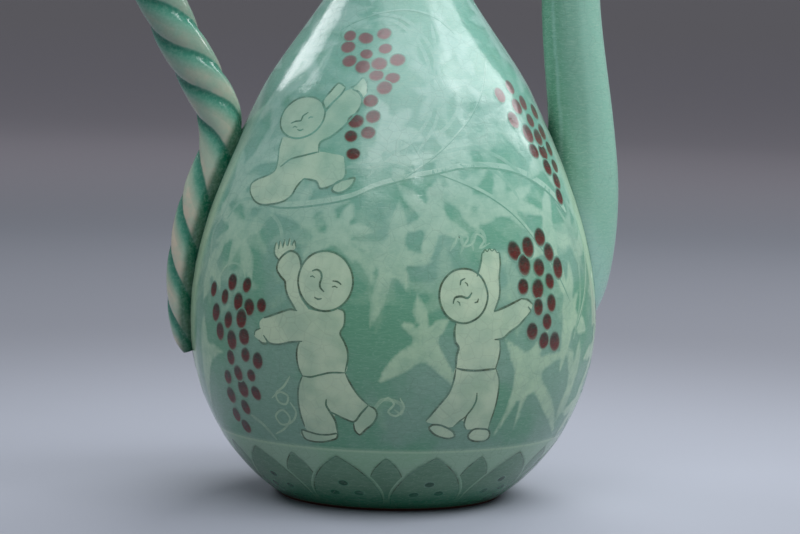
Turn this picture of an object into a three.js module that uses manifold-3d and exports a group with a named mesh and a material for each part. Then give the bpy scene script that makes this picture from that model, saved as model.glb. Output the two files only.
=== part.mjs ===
// Gourd-shaped wine ewer in celadon: a lower and an upper thrown bulb, a handle of three
// twisted clay strands, a hollow spout and a loose lid with a knob and a loop for its tie.
// Millimetres, +Z up. The origin is the middle of the foot, in the plane it stands on.
// The spout points along +X and the handle along -X.

import * as THREE from 'three';
import { mergeVertices } from 'three/addons/utils/BufferGeometryUtils.js';
import Module from 'manifold-3d';

// Lower bulb: foot, belly, shoulder and waist of the outer line
const FOOT_R = 47;
const FOOT_RING_W = 8;
const FOOT_RECESS = 1.6;
const FOOT_EDGE = 1.2;
const HEEL_ANGLE = 33;
const HEEL_PULL = 21.7;
const BELLY_R = 84.4;
const BELLY_Z = 75;
const BELLY_PULL_DOWN = 35.6;
const BELLY_PULL_UP = 38.4;
const SHOULDER_R = 56.6;
const SHOULDER_Z = 165.7;
const SHOULDER_ANGLE = 65.3;
const SHOULDER_PULL = 20;
const WAIST_R = 21.5;
const WAIST_Z = 227;
const WAIST_PULL = 15.3;
const LOWER_WALL = 5;
const FLOOR_THICK = 6;

// Upper bulb: small bulb, neck and flared mouth
const CROWN_R = 36;
const CROWN_Z = 262;
const CROWN_PULL = 15;
const UPPER_WALL = 4;
const NECK_R = 14.6;
const NECK_Z = 293;
const NECK_PULL = 9;
const NECK_BORE_R = 10.8;
const LIP_R = 17;
const LIP_H = 13;
const LIP_ROUND = 1.4;

// Spout: height, front line, depth and half width of its stations. The front line is
// measured out from the belly's radius, so that the spout keeps its seat on the wall.
const SPOUT_ROOT_Z = 69;
const SPOUT_ROOT_FRONT = -4.4;
const SPOUT_ROOT_DEPTH = 14;
const SPOUT_ROOT_WIDE = 15.5;
const SPOUT_FOOT_Z = 84;
const SPOUT_FOOT_FRONT = 3.8;
const SPOUT_FOOT_DEPTH = 22;
const SPOUT_FOOT_WIDE = 17;
const SPOUT_SWELL_Z = 104;
const SPOUT_SWELL_FRONT = 7.9;
const SPOUT_SWELL_DEPTH = 28.6;
const SPOUT_SWELL_WIDE = 16.4;
const SPOUT_FLANK_Z = 128;
const SPOUT_FLANK_FRONT = 8.9;
const SPOUT_FLANK_DEPTH = 31;
const SPOUT_FLANK_WIDE = 15.2;
const SPOUT_NECK_Z = 155;
const SPOUT_NECK_FRONT = 6.3;
const SPOUT_NECK_DEPTH = 27.5;
const SPOUT_NECK_WIDE = 13.5;
const SPOUT_BACK_Z = 205;
const SPOUT_BACK_FRONT = -0.8;
const SPOUT_BACK_DEPTH = 24.3;
const SPOUT_BACK_WIDE = 12.2;
const SPOUT_BEND_Z = 248;
const SPOUT_BEND_FRONT = -2.2;
const SPOUT_BEND_DEPTH = 20.6;
const SPOUT_BEND_WIDE = 10;
const SPOUT_TIP_Z = 290;
const SPOUT_TIP_FRONT = 8.4;
const SPOUT_TIP_DEPTH = 15.4;
const SPOUT_TIP_WIDE = 7.6;
const SPOUT_WALL = 3;
const PORT_Z = 112;
const PORT_R = 7;

// Rope handle: three strands laid left-handed round one axis
const ROPE_R = 9.4;
const STRAND_COUNT = 3;
const STRAND_SHARE = 0.453;
const ROPE_LAY = 61.5;
const TAIL_Z = 57.5;
const TAIL_LENGTH = 98;
const TAIL_FINENESS = 0.28;
const TAIL_LIFT = 0.55;
const GRIP_CLEARANCE = 2.3;
const GRIP_SWING_Z = 196;
const GRIP_SWING_GAP = 57.2;
const GRIP_REACH = 111.5;
const GRIP_REACH_Z = 241;
const GRIP_TOP_X = 74;
const GRIP_TOP_Z = 284;
const GRIP_SEAT_RISE = 6;
const GRIP_SEAT_DEPTH = 10;

// Small loops for the tie between handle and lid
const LOOP_R = 4.6;
const LOOP_WIRE_R = 1.8;
const LOOP_SINK = 1.2;

// Lid: cap, flange that drops into the neck, knob
const LID_OVERHANG = 0.9;
const LID_EDGE_H = 2.6;
const LID_DOME_H = 8;
const LID_SEAT_R = 5.2;
const LID_WALL = 3;
const FLANGE_CLEARANCE = 0.6;
const FLANGE_WALL = 2.2;
const FLANGE_H = 10;
const LID_LOOP_X = 11.5;
const KNOB_R = 6.4;
const KNOB_STEM_R = 3.4;
const KNOB_H = 16;

// Gap between pieces that are luted or laid against each other
const SEAT_GAP = 0.3;

// Facets
const ROUND_STEPS = 48;
const CURVE_STEPS = 7;
const LID_STEPS = 32;
const LOOP_SIDES = 8;
const LOOP_STEPS = 16;
const SPOUT_SIDES = 20;
const SPOUT_RINGS = 24;
const STRAND_SIDES = 9;
const STRAND_STEP = 5.4;

const UP = new THREE.Vector2(0, 1);
const AHEAD = new THREE.Vector3(1, 0, 0);
const SIDE = new THREE.Vector3(0, 1, 0);
const degrees = THREE.MathUtils.degToRad;

const celadon = () => new THREE.MeshStandardMaterial({ color: 0x8fb5a0, roughness: 0.16, metalness: 0 });
const paleRope = () => new THREE.MeshStandardMaterial({ color: 0xa9b294, roughness: 0.2, metalness: 0 });

const wasm = await Module();
wasm.setup();

function point(r, z) {
  return new THREE.Vector2(r, z);
}

// Direction at an angle above the outward horizontal
function slope(angle) {
  return point(Math.cos(degrees(angle)), Math.sin(degrees(angle)));
}

// One smooth stretch of an outline, leaving and arriving along the given directions
function stretch(from, leave, leavePull, to, arrive, arrivePull) {
  const first = from.clone().addScaledVector(leave, leavePull);
  const second = to.clone().addScaledVector(arrive, -arrivePull);
  return new THREE.CubicBezierCurve(from, first, second, to);
}

function joined(curves) {
  const path = new THREE.CurvePath();
  curves.forEach((curve) => path.add(curve));
  return path;
}

const lowerLine = joined([
  stretch(point(FOOT_R, FOOT_EDGE), slope(HEEL_ANGLE), HEEL_PULL, point(BELLY_R, BELLY_Z), UP, BELLY_PULL_DOWN),
  stretch(point(BELLY_R, BELLY_Z), UP, BELLY_PULL_UP, point(SHOULDER_R, SHOULDER_Z),
    slope(180 - SHOULDER_ANGLE), SHOULDER_PULL),
  stretch(point(SHOULDER_R, SHOULDER_Z), slope(180 - SHOULDER_ANGLE), SHOULDER_PULL,
    point(WAIST_R, WAIST_Z), UP, WAIST_PULL),
]);

const upperLine = joined([
  stretch(point(WAIST_R, WAIST_Z), UP, WAIST_PULL, point(CROWN_R, CROWN_Z), UP, CROWN_PULL),
  stretch(point(CROWN_R, CROWN_Z), UP, CROWN_PULL, point(NECK_R, NECK_Z), UP, NECK_PULL),
]);

function samples(line, steps) {
  return line.curves.flatMap((curve, i) => curve.getPoints(steps).slice(i === 0 ? 0 : 1));
}

// Moves each point of a line square to it, outwards for a positive distance
function offset(points, distance) {
  return points.map((p, i) => {
    const before = points[Math.max(i - 1, 0)];
    const after = points[Math.min(i + 1, points.length - 1)];
    const along = after.clone().sub(before).normalize();
    return point(p.x + along.y * distance, p.y - along.x * distance);
  });
}

// Radius of a line at a height
function radiusAt(points, z) {
  const next = points.findIndex((p) => p.y >= z);
  if (next <= 0) {
    return next === 0 ? points[0].x : points[points.length - 1].x;
  }
  const share = (z - points[next - 1].y) / (points[next].y - points[next - 1].y);
  return THREE.MathUtils.lerp(points[next - 1].x, points[next].x, share);
}

const lowerOuter = samples(lowerLine, CURVE_STEPS);
const upperOuter = samples(upperLine, CURVE_STEPS);
const MOUTH_Z = NECK_Z + LIP_H;
const lipLine = new THREE.SplineCurve([
  point(NECK_R, NECK_Z),
  point((NECK_R + LIP_R) / 2, NECK_Z + LIP_H / 2),
  point(LIP_R, MOUTH_Z - LIP_ROUND),
]).getPoints(4).slice(1);
const wallAt = (z) => radiusAt(lowerOuter, z);
const crownAt = (z) => radiusAt(upperOuter, z);

function turned(profile, steps = ROUND_STEPS) {
  return new THREE.LatheGeometry(profile, steps).rotateX(Math.PI / 2);
}

// A closed mesh as a solid that can be cut
function solid(geometry) {
  const bare = geometry.clone();
  bare.deleteAttribute('normal');
  bare.deleteAttribute('uv');
  const merged = mergeVertices(bare, 1e-4);
  const corners = merged.getIndex().array;
  const kept = [];
  for (let i = 0; i < corners.length; i += 3) {
    const [a, b, c] = corners.slice(i, i + 3);
    if (a !== b && b !== c && c !== a) {
      kept.push(a, b, c);
    }
  }
  const mesh = new wasm.Mesh({
    numProp: 3,
    vertProperties: merged.getAttribute('position').array,
    triVerts: new Uint32Array(kept),
  });
  return new wasm.Manifold(mesh);
}

function geometryOf(shape) {
  const mesh = shape.getMesh();
  const geometry = new THREE.BufferGeometry();
  geometry.setAttribute('position', new THREE.BufferAttribute(mesh.vertProperties, 3));
  geometry.setIndex(new THREE.BufferAttribute(mesh.triVerts, 1));
  geometry.computeVertexNormals();
  return geometry;
}

// Skin over a row of rings with equally many points. A closed row meets its first ring
// again, an open one is shut by a flat fan at both ends.
function skin(rings, closed) {
  const sides = rings[0].length;
  const points = rings.flat();
  const index = [];
  const bands = closed ? rings.length : rings.length - 1;
  for (let i = 0; i < bands; i += 1) {
    const here = i * sides;
    const next = ((i + 1) % rings.length) * sides;
    for (let j = 0; j < sides; j += 1) {
      const k = (j + 1) % sides;
      index.push(here + j, here + k, next + j);
      index.push(here + k, next + k, next + j);
    }
  }
  if (!closed) {
    const last = (rings.length - 1) * sides;
    const start = points.length;
    points.push(middle(rings[0]), middle(rings[rings.length - 1]));
    for (let j = 0; j < sides; j += 1) {
      const k = (j + 1) % sides;
      index.push(start, k, j);
      index.push(start + 1, last + j, last + k);
    }
  }
  const geometry = new THREE.BufferGeometry().setFromPoints(points);
  geometry.setIndex(index);
  geometry.computeVertexNormals();
  return geometry;
}

function middle(ring) {
  const sum = new THREE.Vector3();
  ring.forEach((p) => sum.add(p));
  return sum.divideScalar(ring.length);
}

// Ring of points round a centre, in the plane of two directions
function ringAround(centre, first, firstR, second, secondR, sides) {
  return Array.from({ length: sides }, (_, i) => {
    const turn = (2 * Math.PI * i) / sides;
    return centre.clone()
      .addScaledVector(first, firstR * Math.cos(turn))
      .addScaledVector(second, secondR * Math.sin(turn));
  });
}

// Solid of revolution under a line, used to cut what is luted on the outside
function envelope(points, distance) {
  const grown = offset(points, distance);
  const low = grown[0].y;
  const high = grown[grown.length - 1].y;
  return solid(turned([point(0, low), ...grown, point(0, high)]));
}

const lowerEnvelope = envelope(lowerOuter, SEAT_GAP);
const upperEnvelope = envelope([...upperOuter, ...lipLine], SEAT_GAP);

// Lower bulb: turned foot ring with a shallow recess, even wall, open waist, pouring port
function lowerBulb() {
  const top = WAIST_Z - SEAT_GAP / 2;
  const floorZ = FOOT_RECESS + FLOOR_THICK;
  const outer = lowerOuter.filter((p) => p.y < top);
  const inner = offset(lowerOuter, -LOWER_WALL).filter((p) => p.y > floorZ && p.y < top);
  const recessR = FOOT_R - FOOT_RING_W;
  const profile = [
    point(0, FOOT_RECESS),
    point(recessR, FOOT_RECESS),
    point(recessR + FOOT_RECESS, 0),
    point(FOOT_R - FOOT_EDGE, 0),
    ...outer,
    point(WAIST_R, top),
    point(WAIST_R - LOWER_WALL, top),
    ...inner.reverse(),
    point(inner[inner.length - 1].x - LOWER_WALL, floorZ),
    point(0, floorZ),
  ];
  const port = new THREE.CylinderGeometry(PORT_R, PORT_R, 4 * LOWER_WALL, SPOUT_SIDES);
  port.rotateZ(Math.PI / 2).translate(wallAt(PORT_Z), 0, PORT_Z);
  return geometryOf(solid(turned(profile)).subtract(solid(port)));
}

// Upper bulb: even wall, straight neck bore, rounded flared lip
function upperBulb() {
  const bottom = WAIST_Z + SEAT_GAP / 2;
  const outer = upperOuter.filter((p) => p.y > bottom);
  const inner = offset(upperOuter, -UPPER_WALL).filter((p) => p.y > bottom && p.x > NECK_BORE_R);
  const profile = [
    point(WAIST_R - UPPER_WALL, bottom),
    point(WAIST_R, bottom),
    ...outer,
    ...lipLine,
    point(LIP_R - LIP_ROUND / 2, MOUTH_Z),
    point(NECK_BORE_R + LIP_ROUND / 2, MOUTH_Z),
    point(NECK_BORE_R, MOUTH_Z - LIP_ROUND),
    point(NECK_BORE_R, inner[inner.length - 1].y),
    ...inner.slice(0, -1).reverse(),
    point(WAIST_R - UPPER_WALL, bottom),
  ];
  return turned(profile);
}

// Spout: an oval tube of level sections that swells out of the wall and tapers to its tip
function spout() {
  const stations = [
    [SPOUT_ROOT_Z, SPOUT_ROOT_FRONT, SPOUT_ROOT_DEPTH, SPOUT_ROOT_WIDE],
    [SPOUT_FOOT_Z, SPOUT_FOOT_FRONT, SPOUT_FOOT_DEPTH, SPOUT_FOOT_WIDE],
    [SPOUT_SWELL_Z, SPOUT_SWELL_FRONT, SPOUT_SWELL_DEPTH, SPOUT_SWELL_WIDE],
    [SPOUT_FLANK_Z, SPOUT_FLANK_FRONT, SPOUT_FLANK_DEPTH, SPOUT_FLANK_WIDE],
    [SPOUT_NECK_Z, SPOUT_NECK_FRONT, SPOUT_NECK_DEPTH, SPOUT_NECK_WIDE],
    [SPOUT_BACK_Z, SPOUT_BACK_FRONT, SPOUT_BACK_DEPTH, SPOUT_BACK_WIDE],
    [SPOUT_BEND_Z, SPOUT_BEND_FRONT, SPOUT_BEND_DEPTH, SPOUT_BEND_WIDE],
    [SPOUT_TIP_Z, SPOUT_TIP_FRONT, SPOUT_TIP_DEPTH, SPOUT_TIP_WIDE],
  ];
  const line = (part) => new THREE.CatmullRomCurve3(
    stations.map(([z, front, depth, wide]) => part(BELLY_R + front, depth, wide, z)),
    false,
    'catmullrom',
  );
  const middles = line((front, depth, wide, z) => new THREE.Vector3(front - depth / 2, 0, z));
  const halves = line((front, depth, wide, z) => new THREE.Vector3(depth / 2, wide, z));
  const rings = (inset) => Array.from({ length: SPOUT_RINGS + 1 }, (_, i) => {
    const centre = middles.getPoint(i / SPOUT_RINGS);
    const half = halves.getPoint(i / SPOUT_RINGS);
    return ringAround(centre, AHEAD, half.x - inset, SIDE, half.y - inset, SPOUT_SIDES);
  });
  const tube = skin([...rings(0), ...rings(SPOUT_WALL).reverse()], true);
  return geometryOf(solid(tube).subtract(lowerEnvelope));
}

// Rope radius at a height on the tail, where it thins out to its tip on the wall
function ropeRadius(z) {
  const share = THREE.MathUtils.clamp((z - TAIL_Z) / TAIL_LENGTH, 0, 1);
  return ROPE_R * share ** TAIL_FINENESS;
}

function ropeAxis() {
  const tail = [0.01, 0.08, 0.25, 0.45, 0.66, 0.85].map((share) => {
    const z = TAIL_Z + share * TAIL_LENGTH;
    return new THREE.Vector3(-wallAt(z) - TAIL_LIFT * ropeRadius(z), 0, z);
  });
  const leaveZ = TAIL_Z + TAIL_LENGTH;
  const seatZ = CROWN_Z + GRIP_SEAT_RISE;
  return new THREE.CatmullRomCurve3([
    ...tail,
    new THREE.Vector3(-wallAt(leaveZ) - ROPE_R - GRIP_CLEARANCE, 0, leaveZ),
    new THREE.Vector3(-wallAt(GRIP_SWING_Z) - GRIP_SWING_GAP, 0, GRIP_SWING_Z),
    new THREE.Vector3(-GRIP_REACH, 0, GRIP_REACH_Z),
    new THREE.Vector3(-GRIP_TOP_X, 0, GRIP_TOP_Z),
    new THREE.Vector3(-crownAt(seatZ) + GRIP_SEAT_DEPTH, 0, seatZ),
  ], false, 'centripetal');
}

// Even steps along the rope, each with its frame, radius and angle of lay
function ropeStations() {
  const axis = ropeAxis();
  const length = axis.getLength();
  const steps = Math.round(length / STRAND_STEP);
  const stations = [];
  let turn = 0;
  for (let i = 0; i <= steps; i += 1) {
    const share = i / steps;
    const centre = axis.getPointAt(share);
    const along = axis.getTangentAt(share);
    const onTail = centre.z < TAIL_Z + TAIL_LENGTH && share < 0.5;
    const radius = onTail ? ropeRadius(centre.z) : ROPE_R;
    stations.push({ centre, along, across: new THREE.Vector3().crossVectors(SIDE, along), radius, turn });
    turn -= (2 * Math.PI * length) / (steps * ROPE_LAY);
  }
  return stations;
}

// The last strand lies on top at the crest, where the loop for the tie is seated
const rope = ropeStations();
const crest = rope.reduce((best, s) => (s.centre.z > best.centre.z ? s : best));
const layStart = Math.PI - (2 * Math.PI * (STRAND_COUNT - 1)) / STRAND_COUNT - crest.turn;

// Middle line of one strand, with its thickness and its side away from the rope's axis
function strandLine(number) {
  const phase = layStart + (2 * Math.PI * number) / STRAND_COUNT;
  return rope.map((s) => {
    const outward = new THREE.Vector3()
      .addScaledVector(s.across, Math.cos(s.turn + phase))
      .addScaledVector(SIDE, Math.sin(s.turn + phase));
    const radius = STRAND_SHARE * s.radius - SEAT_GAP / 2;
    return { centre: s.centre.clone().addScaledVector(outward, s.radius - radius), outward, radius };
  });
}

const strandLines = Array.from({ length: STRAND_COUNT }, (_, number) => strandLine(number));

function strand(line) {
  const rings = line.map(({ centre, outward, radius }, i) => {
    const before = line[Math.max(i - 1, 0)].centre;
    const after = line[Math.min(i + 1, line.length - 1)].centre;
    const along = after.clone().sub(before).normalize();
    const side = new THREE.Vector3().crossVectors(along, outward).normalize();
    const out = new THREE.Vector3().crossVectors(side, along);
    return ringAround(centre, out, radius, side, radius, STRAND_SIDES);
  });
  return geometryOf(solid(skin(rings, false)).subtract(lowerEnvelope).subtract(upperEnvelope));
}

// Clay loop standing in the plane of handle and spout, seated on what carries it
function loop(x, z, tilt, seat) {
  const ring = new THREE.TorusGeometry(LOOP_R, LOOP_WIRE_R, LOOP_SIDES, LOOP_STEPS);
  ring.rotateX(Math.PI / 2).rotateY(tilt).translate(x, 0, z);
  return geometryOf(solid(ring).subtract(seat));
}

// Loop on the crest of the handle
function handleLoop() {
  const cover = rope.map((s) => {
    const r = s.radius + SEAT_GAP;
    return ringAround(s.centre, s.across, r, SIDE, r, LOOP_STEPS);
  });
  const z = crest.centre.z + ROPE_R + LOOP_R - LOOP_SINK;
  return loop(crest.centre.x, z, 0, solid(skin(cover, false)));
}

const LID_Z = MOUTH_Z + SEAT_GAP;
const LID_R = LIP_R + LID_OVERHANG;
const LID_TOP_Z = LID_Z + LID_EDGE_H + LID_DOME_H;

// Outer line of the lid, from its edge over the dome to the flat seat of the knob
function lidLine() {
  const dome = new THREE.CubicBezierCurve(
    point(LID_R, LID_Z + LID_EDGE_H),
    point(LID_R, LID_Z + LID_EDGE_H + LID_DOME_H / 2),
    point((LID_R + LID_SEAT_R) / 2, LID_TOP_Z),
    point(LID_SEAT_R, LID_TOP_Z),
  );
  return [point(LID_R, LID_Z), ...dome.getPoints(CURVE_STEPS)];
}

// Lid: hollow cap with a straight flange that drops into the neck
function lid() {
  const flangeR = NECK_BORE_R - FLANGE_CLEARANCE;
  const boreR = flangeR - FLANGE_WALL;
  const profile = [
    point(flangeR, LID_Z),
    ...lidLine(),
    point(0, LID_TOP_Z),
    point(0, LID_TOP_Z - LID_WALL),
    point(boreR / 2, LID_TOP_Z - LID_WALL),
    point(boreR, LID_TOP_Z - 2 * LID_WALL),
    point(boreR, LID_Z - FLANGE_H),
    point(flangeR, LID_Z - FLANGE_H),
    point(flangeR, LID_Z),
  ];
  return turned(profile, LID_STEPS);
}

// Knob: a short stem and a bud
function lidKnob() {
  const foot = LID_TOP_Z + SEAT_GAP;
  const line = new THREE.SplineCurve([
    point(KNOB_STEM_R * 1.3, foot),
    point(KNOB_STEM_R, foot + KNOB_H * 0.2),
    point(KNOB_R, foot + KNOB_H * 0.55),
    point(KNOB_R * 0.6, foot + KNOB_H * 0.86),
    point(0, foot + KNOB_H),
  ]);
  return turned([point(0, foot), ...line.getPoints(2 * CURVE_STEPS)], LID_STEPS);
}

// Loop at the side of the lid that faces the handle
function lidLoop() {
  const line = lidLine();
  const tilt = Math.atan2(LID_DOME_H, LID_R);
  const seatZ = LID_TOP_Z - LID_DOME_H * (LID_LOOP_X / LID_R) ** 2;
  const cover = solid(turned([
    point(0, LID_Z),
    ...offset(line, SEAT_GAP),
    point(0, LID_TOP_Z + SEAT_GAP),
  ], LID_STEPS));
  return loop(-LID_LOOP_X, seatZ + LOOP_R - LOOP_SINK, tilt, cover);
}

const group = new THREE.Group();

function place(name, geometry, material) {
  const mesh = new THREE.Mesh(geometry, material);
  mesh.name = name;
  group.add(mesh);
}

place('lower_bulb', lowerBulb(), celadon());
place('upper_bulb', upperBulb(), celadon());
place('spout', spout(), celadon());
strandLines.forEach((line, number) => place(`handle_strand_${number + 1}`, strand(line), paleRope()));
place('handle_loop', handleLoop(), celadon());
place('lid', lid(), celadon());
place('lid_knob', lidKnob(), celadon());
place('lid_loop', lidLoop(), celadon());

export default group;
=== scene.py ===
import math
import random

import bmesh
import bpy
from mathutils import Matrix, Quaternion, Vector
from mathutils.bvhtree import BVHTree


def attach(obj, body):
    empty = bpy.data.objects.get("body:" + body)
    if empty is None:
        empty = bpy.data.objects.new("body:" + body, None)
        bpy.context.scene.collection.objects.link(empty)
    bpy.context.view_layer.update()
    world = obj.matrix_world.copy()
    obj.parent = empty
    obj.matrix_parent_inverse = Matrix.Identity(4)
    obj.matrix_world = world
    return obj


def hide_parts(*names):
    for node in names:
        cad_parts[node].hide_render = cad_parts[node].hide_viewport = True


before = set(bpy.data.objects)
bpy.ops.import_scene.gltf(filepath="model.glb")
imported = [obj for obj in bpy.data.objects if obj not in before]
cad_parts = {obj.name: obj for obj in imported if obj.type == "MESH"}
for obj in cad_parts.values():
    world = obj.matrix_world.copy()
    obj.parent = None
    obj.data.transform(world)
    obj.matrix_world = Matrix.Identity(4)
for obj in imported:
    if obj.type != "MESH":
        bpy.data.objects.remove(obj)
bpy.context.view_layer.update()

# Lower bulb. A thrown pear-shaped stoneware shell with a turned foot ring, glazed inside and
# out in celadon and left bare only on the narrow ring that it stands on. Its outline is
# turned once round the axis, as on the wheel.
FOOT_R = 0.047
FOOT_RING_W = 0.008
FOOT_RECESS = 0.0016
FOOT_EDGE = 0.0012
HEEL_ANGLE = math.radians(33)
HEEL_PULL = 0.0217
BELLY_R = 0.0844
BELLY_Z = 0.075
BELLY_PULL_DOWN = 0.0356
BELLY_PULL_UP = 0.0384
SHOULDER_R = 0.0566
SHOULDER_Z = 0.1657
SHOULDER_ANGLE = math.radians(65.3)
SHOULDER_PULL = 0.02
WAIST_R = 0.0215
WAIST_Z = 0.227
WAIST_PULL = 0.0153
LOWER_WALL = 0.005
FLOOR_THICK = 0.006
CROWN_R = 0.036
CROWN_Z = 0.262
CROWN_PULL = 0.015
NECK_R = 0.0146
NECK_Z = 0.293
NECK_PULL = 0.009
BAND_Z = 0.0284
WHEEL_STEPS = 256
MM = 0.001
GLAZE_IOR = 1.5

SPOUT_STATIONS = [  # height, front, depth, half width
    (0.069, 0.0800, 0.0140, 0.0155),
    (0.084, 0.0882, 0.0220, 0.0170),
    (0.104, 0.0923, 0.0286, 0.0164),
    (0.128, 0.0933, 0.0310, 0.0152),
    (0.155, 0.0907, 0.0275, 0.0135),
    (0.205, 0.0836, 0.0243, 0.0122),
    (0.248, 0.0822, 0.0206, 0.0100),
    (0.290, 0.0928, 0.0154, 0.0076),
]
ROPE_R = 0.0094
TAIL_Z = 0.0575
TAIL_LENGTH = 0.098
TAIL_FINENESS = 0.28
TAIL_LIFT = 0.55
GRIP_CLEARANCE = 0.0023
GRIP_SWING = (0.196, 0.0572)
GRIP_REACH = (-0.1115, 0.241)
GRIP_TOP = (-0.074, 0.284)
GRIP_SEAT_Z = 0.268
GRIP_SEAT_DEPTH = 0.010
SEAM_REACH = 17.0
SEAM_ASIDE = 0.03
HANDLE_SIDE = -0.02
SPOUT_SIDE = 0.03
SECTION_REACH = 0.003

UP = Vector((0, 1))
bpy.ops.object.select_all(action="DESELECT")


def stretch(start, leave, end, arrive, steps):
    """Points of one smooth stretch of an outline, after its first."""
    first = start + leave
    second = end - arrive
    points = []
    for i in range(1, steps + 1):
        t = i / steps
        points.append(start * (1 - t) ** 3 + first * (3 * t * (1 - t) ** 2)
                      + second * (3 * t * t * (1 - t)) + end * t ** 3)
    return points


def rounded(points, closed=False, step=1.0, power=0.5):
    """A smooth line through points, with corners about a step apart. Power 0 takes the
    points as evenly spaced."""
    points = [Vector(p) for p in points]
    count = len(points)
    line = []
    for i in range(count if closed else count - 1):
        b = points[i]
        c = points[(i + 1) % count]
        a = points[i - 1] if closed or i else b * 2 - c
        d = points[(i + 2) % count] if closed or i < count - 2 else c * 2 - b
        ab, bc, cd = ((q - p).length ** power for p, q in ((a, b), (b, c), (c, d)))
        leave = ((b - a) / ab - (c - a) / (ab + bc) + (c - b) / bc) * bc
        arrive = ((c - b) / bc - (d - b) / (bc + cd) + (d - c) / cd) * bc
        steps = max(round((c - b).length / step), 1)
        for n in range(steps):
            t = n / steps
            line.append(b * (2 * t ** 3 - 3 * t * t + 1) + leave * (t ** 3 - 2 * t * t + t)
                        + c * (3 * t * t - 2 * t ** 3) + arrive * (t ** 3 - t * t))
    if not closed:
        line.append(points[-1])
    return line


def offset(points, distance):
    """The same line moved square to itself, outwards for a positive distance."""
    moved = []
    for i, p in enumerate(points):
        along = points[min(i + 1, len(points) - 1)] - points[max(i - 1, 0)]
        along.normalize()
        moved.append(Vector((p.x + along.y * distance, p.y - along.x * distance)))
    return moved


foot = Vector((FOOT_R, FOOT_EDGE))
belly = Vector((BELLY_R, BELLY_Z))
shoulder = Vector((SHOULDER_R, SHOULDER_Z))
waist = Vector((WAIST_R, WAIST_Z))
crown = Vector((CROWN_R, CROWN_Z))
neck = Vector((NECK_R, NECK_Z))
heel_way = Vector((math.cos(HEEL_ANGLE), math.sin(HEEL_ANGLE)))
shoulder_way = Vector((-math.cos(SHOULDER_ANGLE), math.sin(SHOULDER_ANGLE)))
lower_line = [foot]
lower_line += stretch(foot, heel_way * HEEL_PULL, belly, UP * BELLY_PULL_DOWN, 44)
lower_line += stretch(belly, UP * BELLY_PULL_UP, shoulder, shoulder_way * SHOULDER_PULL, 48)
lower_line += stretch(shoulder, shoulder_way * SHOULDER_PULL, waist, UP * WAIST_PULL, 36)
upper_line = [waist]
upper_line += stretch(waist, UP * WAIST_PULL, crown, UP * CROWN_PULL, 24)
upper_line += stretch(crown, UP * CROWN_PULL, neck, UP * NECK_PULL, 24)
wall_line = lower_line + upper_line[1:]


def wall_at(z):
    """Radius of the outer wall at a height."""
    for before, after in zip(wall_line, wall_line[1:]):
        if before.y <= z <= after.y:
            return before.x + (after.x - before.x) * (z - before.y) / (after.y - before.y)
    return FOOT_R


def rope_radius(z):
    """Radius of the rope at a height of its tail."""
    return ROPE_R * min(max((z - TAIL_Z) / TAIL_LENGTH, 0.0004), 1) ** TAIL_FINENESS


leave_z = TAIL_Z + TAIL_LENGTH
rope_path = []
for share in (0.01, 0.08, 0.25, 0.45, 0.66, 0.85):
    z = TAIL_Z + share * TAIL_LENGTH
    rope_path.append((-wall_at(z) - TAIL_LIFT * rope_radius(z), z))
rope_path += [
    (-wall_at(leave_z) - ROPE_R - GRIP_CLEARANCE, leave_z),
    (-wall_at(GRIP_SWING[0]) - GRIP_SWING[1], GRIP_SWING[0]),
    GRIP_REACH,
    GRIP_TOP,
    (-wall_at(GRIP_SEAT_Z) + GRIP_SEAT_DEPTH, GRIP_SEAT_Z),
]
rope_line = rounded(rope_path, step=0.0015)
rope_radii = [rope_radius(p.y) if p.y < leave_z and i < len(rope_line) / 2 else ROPE_R
              for i, p in enumerate(rope_line)]
spout_line = rounded([(front - depth / 2, z, depth / 2, wide)
                      for z, front, depth, wide in SPOUT_STATIONS], step=0.003, power=0)
spout_foot = next(s for s in spout_line if s[0] + s[2] > wall_at(s[1]))


def seam_at(x, y, z):
    """Distance from the nearest seam, where handle or spout is luted on, in millimetres."""
    near = SEAM_REACH
    if abs(y) < SEAM_ASIDE and x < HANDLE_SIDE:
        for p, radius in zip(rope_line, rope_radii):
            near = min(near, (math.hypot(x - p.x, y, z - p.y) - radius) / MM)
    if abs(y) < SEAM_ASIDE and x > SPOUT_SIDE:
        for section in spout_line:
            if abs(section[1] - z) < SECTION_REACH and section[1] >= spout_foot[1]:
                away = math.hypot((x - section[0]) / section[2], y / section[3]) - 1
                near = min(near, away * section[3] / MM)
        if z < spout_foot[1]:
            away = math.hypot(z - spout_foot[1], max(abs(y) - spout_foot[3] / 2, 0))
            near = min(near, away / MM)
    return max(near, 0.0)


def shape_piece(name, corners, faces):
    """A new piece in the scene from its corners and faces."""
    mesh = bpy.data.meshes.new(name)
    mesh.from_pydata(corners, [], faces)
    piece = bpy.data.objects.new(name, mesh)
    bpy.context.scene.collection.objects.link(piece)
    return piece


def mark(piece, **marks):
    """Stores values in a piece's corners, for its glaze."""
    for name, values in marks.items():
        piece.data.attributes.new(name, "FLOAT", "POINT").data.foreach_set("value", values)


def mark_seams(piece):
    mark(piece, seam=[seam_at(*corner.co) for corner in piece.data.vertices])


def smooth_by_angle(piece, angle=40):
    """Smooth shading, with edges sharper than the angle kept."""
    bpy.ops.object.select_all(action="DESELECT")
    piece.select_set(True)
    bpy.context.view_layer.objects.active = piece
    bpy.ops.object.transform_apply(location=True, rotation=True, scale=True)
    bpy.ops.object.shade_smooth_by_angle(angle=math.radians(angle))
    bpy.ops.object.select_all(action="DESELECT")


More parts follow.
